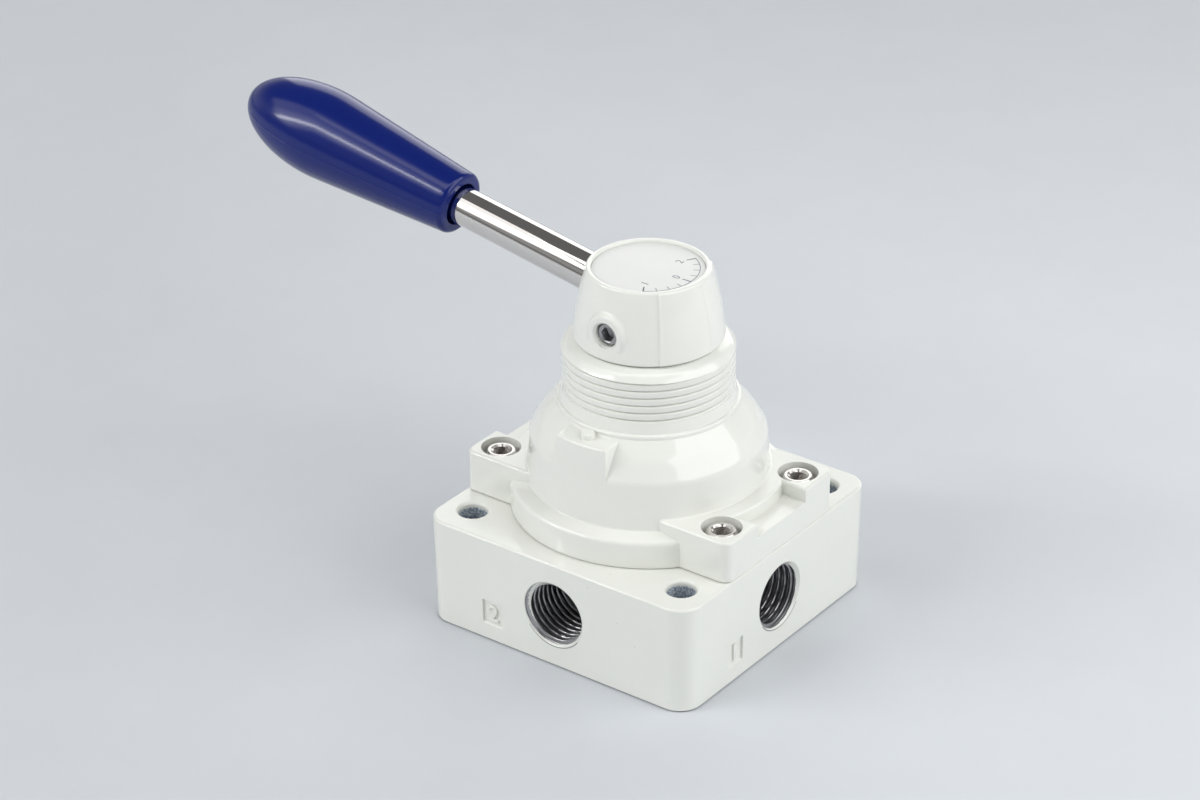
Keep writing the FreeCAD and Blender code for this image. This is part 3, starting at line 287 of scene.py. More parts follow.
def grid_faces(rows, columns, wrap_rows):
    i = np.arange(rows if wrap_rows else rows - 1)[:, None]
    j = np.arange(columns)[None, :]
    after_i, after_j = (i + 1) % rows, (j + 1) % columns
    corners = (i * columns + j, i * columns + after_j, after_i * columns + after_j,
               after_i * columns + j)
    return np.stack(corners, -1).reshape(-1, 4)


def closed_mesh(name, grids, wrap_rows=False):
    """Mesh of one or more closed grids of points in millimetres, each [row, column, xyz].

    Columns run round and join. Rows join too where wrap_rows is set, and otherwise the first and
    the last row are single points. Doubles are merged, then all faces are turned outwards.
    """
    points, faces, start = [], [], 0
    for grid in grids:
        rows, columns = grid.shape[:2]
        points.append(grid.reshape(-1, 3))
        faces.append(grid_faces(rows, columns, wrap_rows) + start)
        start += rows * columns
    mesh = bpy.data.meshes.new(name)
    mesh.from_pydata((np.concatenate(points) * MM).tolist(), [], np.concatenate(faces).tolist())
    return tidied(mesh)


def tidied(mesh, distance=3e-7, turn=True):
    """The same mesh with its doubles merged and, where turn is set, its faces turned outwards."""
    shape = bmesh.new()
    shape.from_mesh(mesh)
    bmesh.ops.remove_doubles(shape, verts=shape.verts, dist=distance)
    bmesh.ops.dissolve_degenerate(shape, edges=shape.edges, dist=1e-8)
    if turn:
        bmesh.ops.recalc_face_normals(shape, faces=shape.faces)
    shape.to_mesh(mesh)
    shape.free()
    mesh.validate()
    return mesh


def polar(radius, angle, height):
    """Points at (r sin a, -r cos a, h), which puts azimuth 0 at -Y."""
    return np.stack(np.broadcast_arrays(radius * np.sin(angle), -radius * np.cos(angle), height), -1)


def turned(profile, around, radial=None):
    """Grid of a turned shape: a point for every profile point (radius, height) and angle.

    radial(radius, height, angle) may change the radius, as a whole array.
    """
    radius, height, angle = np.broadcast_arrays(profile[:, :1], profile[:, 1:], around)
    if radial:
        radius = radial(radius, height, angle)
    return polar(radius, angle, height)


def quarter_turned(points, quarter):
    """Points turned about Z by quarters of a turn: one quarter carries -Y to +X."""
    c, s = round(math.cos(quarter * TURN / 4)), round(math.sin(quarter * TURN / 4))
    x, y = points[..., 0], points[..., 1]
    return np.stack([c * x - s * y, s * x + c * y, points[..., 2]], -1)


def on_lever(grid):
    """Turns a grid built on Z so that Z runs out along the lever, and -Y stays level."""
    c, s = math.cos(LEVER_TILT), math.sin(LEVER_TILT)
    side, front, out = grid[..., 0], grid[..., 1], grid[..., 2]
    return np.stack([-c * out + s * side, front, LEVER_HEIGHT + s * out + c * side], -1)


def hexagon(angle, flats):
    """Distance from the centre to a hexagon's side at an angle."""
    return flats / 2 / np.cos(np.mod(angle + math.pi / 6, math.pi / 3) - math.pi / 6)


def smooth(value):
    value = np.clip(value, 0, 1)
    return value * value * (3 - 2 * value)


def land(phase, power):
    """Depth of a thread, 0 on its land and 1 in its groove, which lies at whole phases."""
    return np.abs(2 * np.mod(phase, 1) - 1) ** power


def new_object(name, data):
    obj = bpy.data.objects.new(name, data)
    bpy.context.scene.collection.objects.link(obj)
    return obj


def evaluated_mesh(obj):
    """Mesh of an object with its modifiers, or its text, carried out."""
    graph = bpy.context.evaluated_depsgraph_get()
    return bpy.data.meshes.new_from_object(obj.evaluated_get(graph))


def show(mesh, body, materials, crease=35, replaces=()):
    """Object for a finished mesh: smooth with sharp edges, on a body, with its materials."""
    obj = new_object(mesh.name, mesh)
    mesh.polygons.foreach_set("use_smooth", np.ones(len(mesh.polygons), bool))
    mesh.set_sharp_from_angle(angle=math.radians(crease))
    for material in materials:
        mesh.materials.append(material)
    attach(obj, body)
    if replaces:
        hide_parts(*replaces)
    return obj


def merged_copy(node, name):
    """A CAD node's surface as one mesh, its loose triangles merged and left where they are."""
    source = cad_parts[node].data
    corners = np.empty(len(source.loops), np.int32)
    source.loops.foreach_get("vertex_index", corners)
    mesh = bpy.data.meshes.new(name)
    mesh.from_pydata(mesh_points(source).tolist(), [], corners.reshape(-1, 3).tolist())
    return tidied(mesh, 1e-6, False)


def read(items, name):
    """A vector of every item, one to a row."""
    values = np.empty(len(items) * 3)
    items.foreach_get(name, values)
    return values.reshape(-1, 3)


def mesh_points(mesh):
    return read(mesh.vertices, "co")


def set_points(mesh, points):
    """Places a mesh's vertices at points in millimetres."""
    mesh.vertices.foreach_set("co", (points * MM).ravel())


def face_centres(mesh):
    """Middles of the faces in millimetres, as x, y and z."""
    return read(mesh.polygons, "center").T / MM


def paint_faces(mesh, kinds):
    """Gives each face its material, by number or by yes and no."""
    mesh.polygons.foreach_set("material_index", kinds.astype(np.int32))


def cut_round(obj, start, direction, depth, radius, end_radius=None):
    """Cuts a round hole into obj: a cylinder or cone from start along direction."""
    profile = np.array([(0, 0), (radius, 0), (end_radius or radius, depth), (0, depth)], float)
    turn = np.array(Vector(direction).to_track_quat("Z", "Y").to_matrix())
    grid = turned(profile, steps_round(96)) @ turn.T + np.array(start)
    cutter = new_object("cutter", closed_mesh("cutter", [grid]))
    modifier = obj.modifiers.new("cut", "BOOLEAN")
    modifier.operation = "DIFFERENCE"
    modifier.object = cutter
    modifier.solver = "EXACT"
    new, old = evaluated_mesh(obj), obj.data
    new.name = old.name
    obj.modifiers.clear()
    obj.data = new
    bpy.data.meshes.remove(old)
    bpy.data.objects.remove(cutter)


# Materials

def plug(tree, socket, value):
    """Links an input where the value is a socket, and otherwise sets its own value."""
    if isinstance(value, bpy.types.NodeSocket):
        tree.links.new(value, socket)
    else:
        socket.default_value = value


def set_inputs(tree, node, **values):
    """Sets or links inputs by name, with _ for each space."""
    for name, value in values.items():
        plug(tree, node.inputs[name.replace("_", " ")], value)


def add(tree, kind, **values):
    """New shader node. Lower-case values are settings, others are inputs by name."""
    node = tree.nodes.new("ShaderNode" + kind)
    for name, value in values.items():
        if name[0].islower():
            setattr(node, name, value)
        else:
            set_inputs(tree, node, **{name: value})
    return node


def sums(tree, operation, *values):
    """Math node on sockets or numbers, giving its output."""
    node = add(tree, "Math", operation=operation)
    for k, value in enumerate(values):
        plug(tree, node.inputs[k], value)
    return node.outputs[0]


def along(tree, place, direction):
    """Distance of a place along a direction."""
    node = add(tree, "VectorMath", operation="DOT_PRODUCT")
    plug(tree, node.inputs[0], place)
    plug(tree, node.inputs[1], direction)
    return node.outputs["Value"]


def blend_colours(tree, share, first, second):
    node = add(tree, "Mix", data_type="RGBA")
    plug(tree, node.inputs[0], share)
    for index, value in ((6, first), (7, second)):
        plug(tree, node.inputs[index], (*value, 1) if isinstance(value, tuple) else value)
    return node.outputs[2]


def spread(tree, value, low, high, to_low, to_high):
    """Value carried from one range, which it's clamped to, to another."""
    node = add(tree, "MapRange", Value=value, From_Min=low, From_Max=high, To_Min=to_low, To_Max=to_high)
    return node.outputs[0]


def new_group(name, inputs, outputs):
    """Empty node group. Inputs are given as (name, kind, default), outputs as names of numbers."""
    tree = bpy.data.node_groups.new(name, "ShaderNodeTree")
    for label, kind, default in inputs:
        socket = tree.interface.new_socket(label, in_out="INPUT", socket_type="NodeSocket" + kind)
        if default is not None:
            socket.default_value = default
    for label in outputs:
        tree.interface.new_socket(label, in_out="OUTPUT", socket_type="NodeSocketFloat")
    return tree, tree.nodes.new("NodeGroupInput"), tree.nodes.new("NodeGroupOutput")


def cast_skin_group():
    """Surface of a coated or moulded piece: waves, slow changes of tone, and sparse specks."""
    if "Cast Skin" in bpy.data.node_groups:
        return bpy.data.node_groups["Cast Skin"]
    tree, entry, leave = new_group(
        "Cast Skin",
        [("Coordinates", "Vector", None), ("Waves per Metre", "Float", 700.0), ("Specks", "Float", 0.5)],
        ["Height", "Tone", "Speck Mask"])
    place, waves = entry.outputs["Coordinates"], entry.outputs["Waves per Metre"]
    peel = add(tree, "TexNoise", Vector=place, Scale=waves, Detail=1.0).outputs["Fac"]
    fine_scale = sums(tree, "MULTIPLY", waves, 4.3)
    fine = add(tree, "TexNoise", Vector=place, Scale=fine_scale, Detail=2.0).outputs["Fac"]
    height = sums(tree, "ADD", peel, sums(tree, "MULTIPLY", fine, 0.22))
    tone = add(tree, "TexNoise", Vector=place, Scale=55.0, Detail=4.0, Roughness=0.6).outputs["Fac"]
    cells = add(tree, "TexVoronoi", Vector=place, Scale=300.0)
    share = sums(tree, "MULTIPLY", entry.outputs["Specks"], 0.5)
    chosen = sums(tree, "LESS_THAN", cells.outputs["Color"], share)
    dot = spread(tree, cells.outputs["Distance"], 0.018, 0.042, 1, 0)
    set_inputs(tree, leave, Height=height, Tone=tone, Speck_Mask=sums(tree, "MULTIPLY", dot, chosen))
    return tree


def cast_skin(tree, place, waves, specks=0.0):
    return add(tree, "Group", node_tree=cast_skin_group(), Coordinates=place, Waves_per_Metre=waves,
               Specks=specks)


def turned_lines_group():
    """Fine rings left by turning, along one coordinate."""
    if "Turned Lines" in bpy.data.node_groups:
        return bpy.data.node_groups["Turned Lines"]
    tree, entry, leave = new_group(
        "Turned Lines", [("Along", "Float", 0.0), ("Lines per Metre", "Float", 9000.0)],
        ["Height", "Tone"])
    scale = entry.outputs["Lines per Metre"]
    slow = sums(tree, "MULTIPLY", scale, 0.07)
    for name, size, detail in (("Height", scale, 3.0), ("Tone", slow, 2.0)):
        noise = add(tree, "TexNoise", noise_dimensions="1D", W=entry.outputs["Along"], Scale=size,
                    Detail=detail)
        plug(tree, leave.inputs[name], noise.outputs["Fac"])
    return tree


def new_material(name):
    material = bpy.data.materials.new(name)
    material.use_nodes = True
    tree = material.node_tree
    tree.nodes.clear()
    shader = add(tree, "BsdfPrincipled")
    add(tree, "OutputMaterial", Surface=shader.outputs[0])
    return material, tree, shader, add(tree, "TexCoord").outputs["Object"]


def bump(tree, shader, height, relief):
    """Gives the shader a relief of so many millimetres."""
    node = add(tree, "Bump", Height=height, Distance=relief * MM, Strength=1.0)
    plug(tree, shader.inputs["Normal"], node.outputs[0])


def coated(name, light, dark, roughness, waves, relief, specks=0.0, speck=None, metallic=0.0, coat=0.0,
           coat_roughness=0.1, ior=1.5, rough_play=0.06):
    """Material of a painted, moulded, ground or cast piece, its tone drifting between two colours."""
    if name in bpy.data.materials:
        return bpy.data.materials[name]
    material, tree, shader, place = new_material(name)
    skin = cast_skin(tree, place, waves, specks)
    tone = spread(tree, skin.outputs["Tone"], 0.3, 0.7, 0, 1)
    colour = blend_colours(tree, tone, light, dark)
    if specks:
        colour = blend_colours(tree, skin.outputs["Speck Mask"], colour, speck)
    rough = spread(tree, skin.outputs["Tone"], 0.3, 0.7, roughness, roughness + rough_play)
    set_inputs(tree, shader, Base_Color=colour, Roughness=rough, Metallic=metallic, Coat_Weight=coat,
               Coat_Roughness=coat_roughness, IOR=ior)
    bump(tree, shader, skin.outputs["Height"], relief)
    return material


def chrome():
    """Chromed steel with the fine rings that turning leaves along the lever."""
    name = "chrome rod"
    if name in bpy.data.materials:
        return bpy.data.materials[name]
    material, tree, shader, place = new_material(name)
    rings = add(tree, "Group", node_tree=turned_lines_group(), Along=along(tree, place, LEVER_AXIS),
                Lines_per_Metre=4000.0)
    colour = blend_colours(tree, rings.outputs["Tone"], (0.75, 0.725, 0.70), (0.71, 0.685, 0.66))
    rough = spread(tree, rings.outputs["Height"], 0.2, 0.8, 0.04, 0.09)
    set_inputs(tree, shader, Base_Color=colour, Roughness=rough, Metallic=1.0)
    bump(tree, shader, rings.outputs["Height"], 0.0006)
    return material


def enamel():
    base = tuple(bpy.context.scene.valve_colours.enamel)
    dark = tuple(0.965 * c for c in base)
    relief = bpy.context.scene.valve_sizes.peel_height / MM
    material = coated("enamel white", base, dark, 0.36, 650.0, relief, 0.4, (0.46, 0.47, 0.45), coat=1.0,
                      coat_roughness=0.05)
    material.node_tree.nodes["Principled BSDF"].inputs["Specular IOR Level"].default_value = 0.25
    return material


def bare_casting():
    """Rough wall of the mounting holes, painted down to a ragged edge just under the rim."""
    name = "raw casting"
    if name in bpy.data.materials:
        return bpy.data.materials[name]
    material, tree, shader, place = new_material(name)
    skin = cast_skin(tree, place, 3000.0)
    grain = spread(tree, skin.outputs["Height"], 0.5, 0.78, 0, 1)
    bare = blend_colours(tree, grain, (0.20, 0.25, 0.32), (0.62, 0.67, 0.72))
    up = add(tree, "SeparateXYZ", Vector=place).outputs["Z"]
    ragged = sums(tree, "ADD", up, sums(tree, "MULTIPLY", skin.outputs["Height"], 0.5 * MM))
    paint = spread(tree, ragged, (BASE_TOP - 0.9) * MM, (BASE_TOP - 0.7) * MM, 0, 1)
    white = tuple(bpy.context.scene.valve_colours.enamel)
    set_inputs(tree, shader, Base_Color=blend_colours(tree, paint, bare, white),
               Roughness=spread(tree, paint, 0, 1, 0.5, 0.35))
    bump(tree, shader, skin.outputs["Height"], 0.06)
    return material


# Light tone, dark tone, roughness and waves per metre of the metals
METALS = {
    # Thread metal, darker than the machined aluminium: partly its own tone, partly painted shade for the
    # insides of the ports and the set screw's hole
    "cut thread": ((0.50, 0.50, 0.51), (0.34, 0.34, 0.35), 0.26, 5200.0),
    "machined aluminium": ((0.62, 0.63, 0.65), (0.50, 0.51, 0.53), 0.24, 5200.0),
    "nickel plating": ((0.70, 0.68, 0.655), (0.58, 0.565, 0.545), 0.16, 2500.0),
    # Darker copy of the nickel plating: painted shade for the screws' sockets, shoulders and sides
    "socket steel": ((0.62, 0.60, 0.58), (0.48, 0.46, 0.44), 0.2, 2500.0),
}


def metal(name):
    return coated(name, *METALS[name], 0.004, metallic=1.0)


# Pieces

class ValvePiece:
    """What the operators share."""

    bl_options = {"REGISTER", "UNDO"}

    def execute(self, context):
        self.build(context.scene.valve_sizes, context.scene.valve_colours)
        return {"FINISHED"}


def show_casting(mesh, materials, kinds, node):
    """Shows a casting made from a packed surface, its faces painted or machined."""
    obj = show(mesh, "housing", materials, 28, [node])
    paint_faces(mesh, kinds)
    obj.modifiers.new("shading", "WEIGHTED_NORMAL").keep_sharp = True


def thread_tube(pitch):
    """Port thread as a closed ring along +Z, its mouth at 0 and its end at -PORT_DEPTH.

    The inner wall is the larger of the thread's radius and the mouth's chamfer. The
    thread's radius swings between crest and root with the phase height / pitch - angle / turn. The
    outer wall is a plain cylinder inside the base, wider at the mouth, where it closes the face.
    """
    height = -np.concatenate([np.linspace(0, 1.4, 22), np.linspace(1.4, PORT_DEPTH, 108)[1:]])[:, None]
    around = steps_round(112)[None, :]
    phase = height / pitch - around / TURN
    wave = 0.5 - 0.5 * np.cos(TURN * phase)
    wave = smooth(0.5 + 1.25 * (wave - 0.5))
    runout = smooth((PORT_DEPTH + height) / 1.2)
    inner = PORT_ROOT - (PORT_ROOT - PORT_CREST) * wave * runout
    inner = np.maximum(inner, PORT_MOUTH + height * CHAMFER_SLOPE)
    outer = [[PORT_ROOT + PORT_WALL], [PORT_ROOT + PORT_WALL], [PORT_OUTER]] * np.ones_like(around)
    level = np.concatenate([height, [[-PORT_DEPTH], [-0.4], [0.0]]])
    return polar(np.concatenate([inner, outer]), around, level + 0.006)


def to_face(grid, quarter):
    """Carries a grid built on +Z at the origin to a port face: quarter 0 is -Y, 1 is +X, and so on.

    The grid is sheared so that its mouth follows the drafted face: out grows by the draft times up.
    """
    side, up, out = grid[..., 0], -grid[..., 1], grid[..., 2]
    out = out + up * BASE_DRAFT
    return quarter_turned(np.stack([side, -(PORT_FACE + out), PORT_HEIGHT + up], -1), quarter)


class VALVE_OT_base(ValvePiece, bpy.types.Operator):
    """Finished base casting, with bare metal in its holes"""

    bl_idname = "valve.base"
    bl_label = "Base Casting"

    def build(self, sizes, colours):
        mesh = merged_copy("base_body", "base_casting")
        points = mesh_points(mesh) / MM
        panel = MARK_FACE - MARK_DEPTH
        for axis in (0, 1):
            sunk = np.abs(np.abs(points[:, axis]) - panel) < 2 * CLOSE
            sunk &= np.abs(points[:, 2] - MARK_CENTRE) < MARK_REACH
            points[sunk, axis] -= np.sign(points[sunk, axis]) * (MARK_SUNK - MARK_DEPTH)
            points[sunk, 2] += np.where(points[sunk, 2] < MARK_CENTRE, MARK_LIP, -MARK_LIP / 3)
        set_points(mesh, points)
        x, y, z = face_centres(mesh)
        kind = np.zeros(len(z), int)
        for hole_x, hole_y in MOUNT_PLACES:
            near = np.hypot(x - hole_x, y - hole_y) < MOUNT_RADIUS + 0.1
            kind[near & (z < BASE_TOP - PAINT_DEPTH)] = BARE
        for side, out in ((x, y), (y, x)):
            near = np.hypot(side, z - PORT_HEIGHT) < PORT_ROOT + 0.35
            kind[near & (np.abs(out) < PORT_FACE + CLOSE)] = MACHINED
        kind[(np.hypot(x, y) < SEAT_RADIUS) & (z > BASE_TOP - SEAT_DEPTH)] = MACHINED
        kind[z < CLOSE] = MACHINED
        show_casting(mesh, [enamel(), bare_casting(), metal("machined aluminium")], kind, "base_body")


class VALVE_OT_ports(ValvePiece, bpy.types.Operator):
    """Threads and bright mouths of the four ports"""

    bl_idname = "valve.ports"
    bl_label = "Port Threads"

    def build(self, sizes, colours):
        tube = thread_tube(sizes.port_pitch / MM)
        for name, quarter, _ in PORTS:
            mesh = closed_mesh("port_thread_" + name, [to_face(tube, quarter)], True)
            # The thread's metal carries painted shade for the inside of the port
            show(mesh, "housing", [metal("cut thread"), enamel()], 50)
            x, y, z = face_centres(mesh)
            side, out = (x, y) if quarter % 2 == 0 else (y, x)
            depth = PORT_FACE - np.abs(out)
            chamfer = PORT_MOUTH - depth * CHAMFER_SLOPE
            near = np.abs(np.hypot(side, z - PORT_HEIGHT) - chamfer) < 0.09
            paint_faces(mesh, (depth < PORT_CHAMFER) & near | (depth < 0.05))


class VALVE_OT_port_numbers(ValvePiece, bpy.types.Operator):
    """Plain cast numbers in the sunk panels beside the ports"""

    bl_idname = "valve.port_numbers"
    bl_label = "Port Numbers"

    def build(self, sizes, colours):
        for name, quarter, number in PORTS:
            mesh = flat_word(number, MARK_SIZE, MARK_SUNK * 0.9 - 0.2, MARK_EDGE, "port_number_" + name)
            points = mesh_points(mesh)
            out = MARK_FACE - MARK_SUNK - 0.05 + points[:, 2] + points[:, 1] * BASE_DRAFT
            place = np.stack([points[:, 0] - MARK_OFFSET, -out, MARK_CENTRE + points[:, 1]], -1)
            set_points(mesh, quarter_turned(place, quarter))
            show(tidied(mesh), "housing", [enamel()])


def flat_word(word, height, thick, round_off, name):
    """Mesh of a plain word or number, centred on the origin, its unit a millimetre, from z = 0 up."""
    curve = bpy.data.curves.new(name, "FONT")
    curve.body = word
    curve.size = height
    curve.align_x = "CENTER"
    curve.align_y = "CENTER"
    curve.extrude = thick / 2
    curve.bevel_depth = round_off
    curve.bevel_resolution = 2
    curve.resolution_u = 6
    text = new_object(name, curve)
    mesh = evaluated_mesh(text)
    mesh.name = name
    bpy.data.objects.remove(text)
    points = mesh_points(mesh)
    middle = (points.min(0) + points.max(0)) / 2
    points -= middle * np.array([1, 1, 0])
    points[:, 2] -= points[:, 2].min()
    mesh.vertices.foreach_set("co", points.ravel())
    return mesh


class VALVE_OT_cover(ValvePiece, bpy.types.Operator):
    """Finished domed cover"""

    bl_idname = "valve.cover"
    bl_label = "Domed Cover"

    def build(self, sizes, colours):
        mesh = merged_copy("cover_housing", "domed_cover")
        points = mesh_points(mesh) / MM
        x, y, z = points.T
        reach = np.hypot(x, y)
        z[(reach > RIM_RADIUS) & (np.abs(y) > LUG_REACH) & (np.abs(z - RIM_LEVEL) < RIM_BAND)] -= RIM_FALL
        z[(reach > SKIRT_RADIUS) & (z < BASE_TOP + CLOSE)] += JOINT_GAP
        set_points(mesh, points)
        x, y, z = face_centres(mesh)
        reach = np.hypot(x, y)
        machined = (reach < CHAMBER_RADIUS) & (z < CHAMBER_TOP)
        machined |= (reach < BUSH_BORE) | (z < BASE_TOP + CLOSE)
        show_casting(mesh, [enamel(), metal("machined aluminium")], machined, "cover_housing")


class VALVE_OT_dome(ValvePiece, bpy.types.Operator):
    """Outer surface of the dome and its round flange"""

    bl_idname = "valve.dome"
    bl_label = "Dome Surface"

    def build(self, sizes, colours):
        """The profile goes up the flange, the drafted wall and the shoulder, and down inside the cover."""
        foot, wall = (DOME_RADIUS - (level - DOME_LEVEL) * DOME_DRAFT
                      for level in (DOME_FOOT, DOME_WALL_TOP))
        edge = BASE_TOP + JOINT_GAP
        profile = rounded_line([
            (25.3, 21.55, 0), (25.7, edge, 0), (FLANGE_RADIUS, edge + 0.2, 0),
            (FLANGE_RADIUS, 26.95, 0.95), (foot, DOME_FOOT, 0.35), (wall, DOME_WALL_TOP, 2.6),
            (wall - 2.1, DOME_WALL_TOP + 3.4, 12), (CONE_RADIUS, CONE_TOP, 0), (16.7, CONE_TOP, 0),
            (16.7, 42.9, 0), (19.0, 40.1, 0), (21.3, 36.4, 0), (22.0, 26.9, 0), (25.0, 26.2, 0),
            (25.3, 21.55, 0)], 8)
        grid = turned(refined(profile, 0.7)[:-1], steps_round(256))
        show(closed_mesh("dome_shell", [grid], True), "housing", [enamel()], 40)


class VALVE_OT_collar(ValvePiece, bpy.types.Operator):
    """Painted outside thread of the cover's collar"""

    bl_idname = "valve.collar"
    bl_label = "Collar Thread"

    def build(self, sizes, colours):
        pitch, depth = sizes.collar_pitch / MM, sizes.collar_depth / MM
        foot, top = COLLAR_FOOT - 0.15, COLLAR_TOP + 0.05
        height = np.linspace(foot, top, 190)[:, None]
        around = steps_round(256)[None, :]
        phase = (height - COLLAR_START) / pitch - (around - COLLAR_AZIMUTH) / TURN
        fade = smooth((height - COLLAR_FOOT) / 0.3) * smooth((COLLAR_TOP + 0.3 - height) / 0.5)
        outer = COLLAR_RADIUS - depth * land(phase, 6.5) * fade
        inner = np.full((2, around.size), COLLAR_INNER)
        level = np.concatenate([height, [[top], [foot]]])
        grid = polar(np.concatenate([outer, inner]), around, level)
        show(closed_mesh("collar_thread", [grid], True), "housing", [enamel()], 60)


class VALVE_OT_screws(ValvePiece, bpy.types.Operator):
    """Cap screws with hexagon sockets, and their split washers"""

    bl_idname = "valve.screws"
    bl_label = "Cover Screws and Washers"

    def build(self, sizes, colours):
        screw, washer = socket_screw(), split_washer()
        mesh = closed_mesh("cap_screws", [screw + (x, y, 0) for x, y in SCREW_PLACES])
        show(mesh, "housing", [metal("nickel plating"), metal("socket steel")], 32,
             ["cover_screws"])
        x, y, z = face_centres(mesh)
        reach = np.min([np.hypot(x - screw_x, y - screw_y) for screw_x, screw_y in SCREW_PLACES], 0)
        # Sockets, shoulders and sides get the darker nickel as painted shade; the ring between stays plain
        # nickel
        paint_faces(mesh, (reach < BRIGHT_RING[0]) | (reach > BRIGHT_RING[1]))
        mesh = closed_mesh("spring_washers", [washer + (x, y, 0) for x, y in SCREW_PLACES])
        show(mesh, "housing", [metal("nickel plating")], 40, ["lock_washers"])


def socket_screw():
    """Cap screw on Z: a profile turned round, its head's side notched and its socket a hexagon.

    Column radius = profile radius, less 0.09 on the notches, and the hexagon's own distance
    on the rows of the socket's wall.
    """
    top, foot = SCREW_TOP, SCREW_SEAT - SCREW_LENGTH
    rim = SCREW_FLATS / 2 / math.cos(math.pi / 6)
    profile = rounded_line([
        (0, foot, 0), (1.5, foot, 0), (2.0, foot + 0.5, 0), (2.0, SCREW_SEAT, 0), (3.5, SCREW_SEAT, 0.15),
        (3.5, top - 1.55, 0.3), (2.75, top - 0.2, 0.4), (2.5, top, 0.12), (2.05, top, 0.05),
        (rim, top - 0.34, 0), (rim, top - 2.0, 0), (0, top - 2.7, 0)], 8)

    def shape(radius, height, angle):
        side = (radius > 3.3) & (height > SCREW_SEAT + 0.4) & (height < top - 1.6)
        knurl = 0.5 + 0.5 * np.cos(36 * angle)
        radius = radius - 0.09 * side * knurl
        socket = (height < top - 0.3) & (height > top - 2.75) & (radius < rim + 0.01) & (radius > 0)
        return np.where(socket, radius / rim * hexagon(angle, SCREW_FLATS), radius)

    return turned(refined(profile, 0.5), steps_round(144), shape)


def split_washer():
    """Spring washer: a square section carried once round, its free end a little higher."""
    around = np.linspace(math.radians(5), math.radians(355), 73)[:, None]
    rise = np.linspace(0, 0.12, 73)[:, None]
    radius = np.array([WASHER_INNER, WASHER_OUTER, WASHER_OUTER, WASHER_INNER])
    level = WASHER_SEAT + np.array([0, 0, WASHER_THICK, WASHER_THICK]) + rise
    body = np.stack([radius * np.cos(around), radius * np.sin(around), level], -1)
    first, last = body[:1].mean(1, keepdims=True), body[-1:].mean(1, keepdims=True)
    cap = np.ones((1, 4, 1))
    return np.concatenate([first * cap, body, last * cap])


def head_shape(panel_height):
    """How the head's side departs from a turned shape.

    The side is raised by panel_height between two azimuths, with a rounded step at each, and a
    faint ridge stands where the mould's halves met.
    """
    def shape(radius, height, angle):
        azimuth = np.degrees(angle)

        def ridges(middles, width):
            return sum(np.exp(-((azimuth - middle) / width) ** 2) for middle in middles)

        outside = smooth((radius - 11.0) / 0.35) * smooth((height - HEAD_FOOT + 0.05) / 0.3)
        panel = smooth((azimuth - PANEL_EDGES[0]) / 0.9) * smooth((PANEL_EDGES[1] - azimuth) / 0.9)
        raised = panel_height * (panel - 0.5) + 0.09 * ridges(PANEL_CRESTS, 0.9)
        return radius + outside * (raised + 0.06 * ridges(MOULD_SEAMS, 0.8))
    return shape


class VALVE_OT_head(ValvePiece, bpy.types.Operator):
    """Lever head with its raised panel, set screw boss and holes"""

    bl_idname = "valve.head"
    bl_label = "Lever Head"

    def build(self, sizes, colours):
        side = np.linspace(HEAD_FOOT, HEAD_TOP, 12)[1:-1]
        rise = side - HEAD_FOOT
        curve = HEAD_RADIUS - 0.0753 * rise - 0.00852 * rise ** 2
        profile = [(0, HEAD_BORE_TOP, 0), (HEAD_BORE, HEAD_BORE_TOP, 0), (HEAD_BORE, HEAD_FOOT, 0),
                   (HUB_RADIUS, HEAD_FOOT, 0), (HUB_RADIUS, HOLLOW_TOP, 0), (HOLLOW_RADIUS, HOLLOW_TOP, 0),
                   (HOLLOW_RADIUS, HEAD_FOOT, 0), (HEAD_RADIUS, HEAD_FOOT, 0.35)]
        profile += [(r, z, 0.01) for r, z in zip(curve, side)]
        profile += [(HEAD_TOP_RADIUS, HEAD_TOP, 0.55), (DISH_RADIUS, HEAD_TOP, 0.35),
                    (DISH_RADIUS, DISH_FLOOR, 0.1), (0, DISH_FLOOR, 0)]
        around = angles(300, [math.radians(a) for a in FINE_AZIMUTHS], 0.022, 15)
        grid = turned(refined(rounded_line(profile, 5), 0.3), around, head_shape(sizes.panel_height / MM))
        across = np.hypot(grid[..., 0], grid[..., 2] - SET_HEIGHT)
        lift = smooth((BOSS_RADIUS - across) / 0.75)
        front = -grid[..., 1]
        outer = (front > HEAD_TOP_RADIUS) & (np.hypot(grid[..., 0], grid[..., 1]) > HOLLOW_RADIUS + 0.05)
        raised = np.maximum(front, front + (SET_FACE + 0.02 - front) * lift)
        grid[..., 1] = -np.where(outer, raised, front)
        head = show(closed_mesh("lever_head_cast", [grid]), "rotor", [enamel()], 40,
                    ["lever_head"])
        cut_round(head, (0, -20, SET_HEIGHT), (0, 1, 0), 15.5, SET_BORE)
        cut_round(head, (0, -SET_FACE - 0.1, SET_HEIGHT), (0, 1, 0), 0.55, SET_BORE + 0.45, SET_BORE - 0.02)
        start = (LEVER_AXIS[0] * ROD_SEAT, 0, LEVER_HEIGHT + LEVER_AXIS[2] * ROD_SEAT)
        cut_round(head, start, LEVER_AXIS, 20, ROD_RADIUS + 0.09)
        head.data.set_sharp_from_angle(angle=math.radians(40))
        # The set screw has the threads' metal, darkened as painted shade for its hole
        show(closed_mesh("set_screw", [set_screw()]), "rotor", [metal("cut thread")], 35,
             ["head_set_screw"])


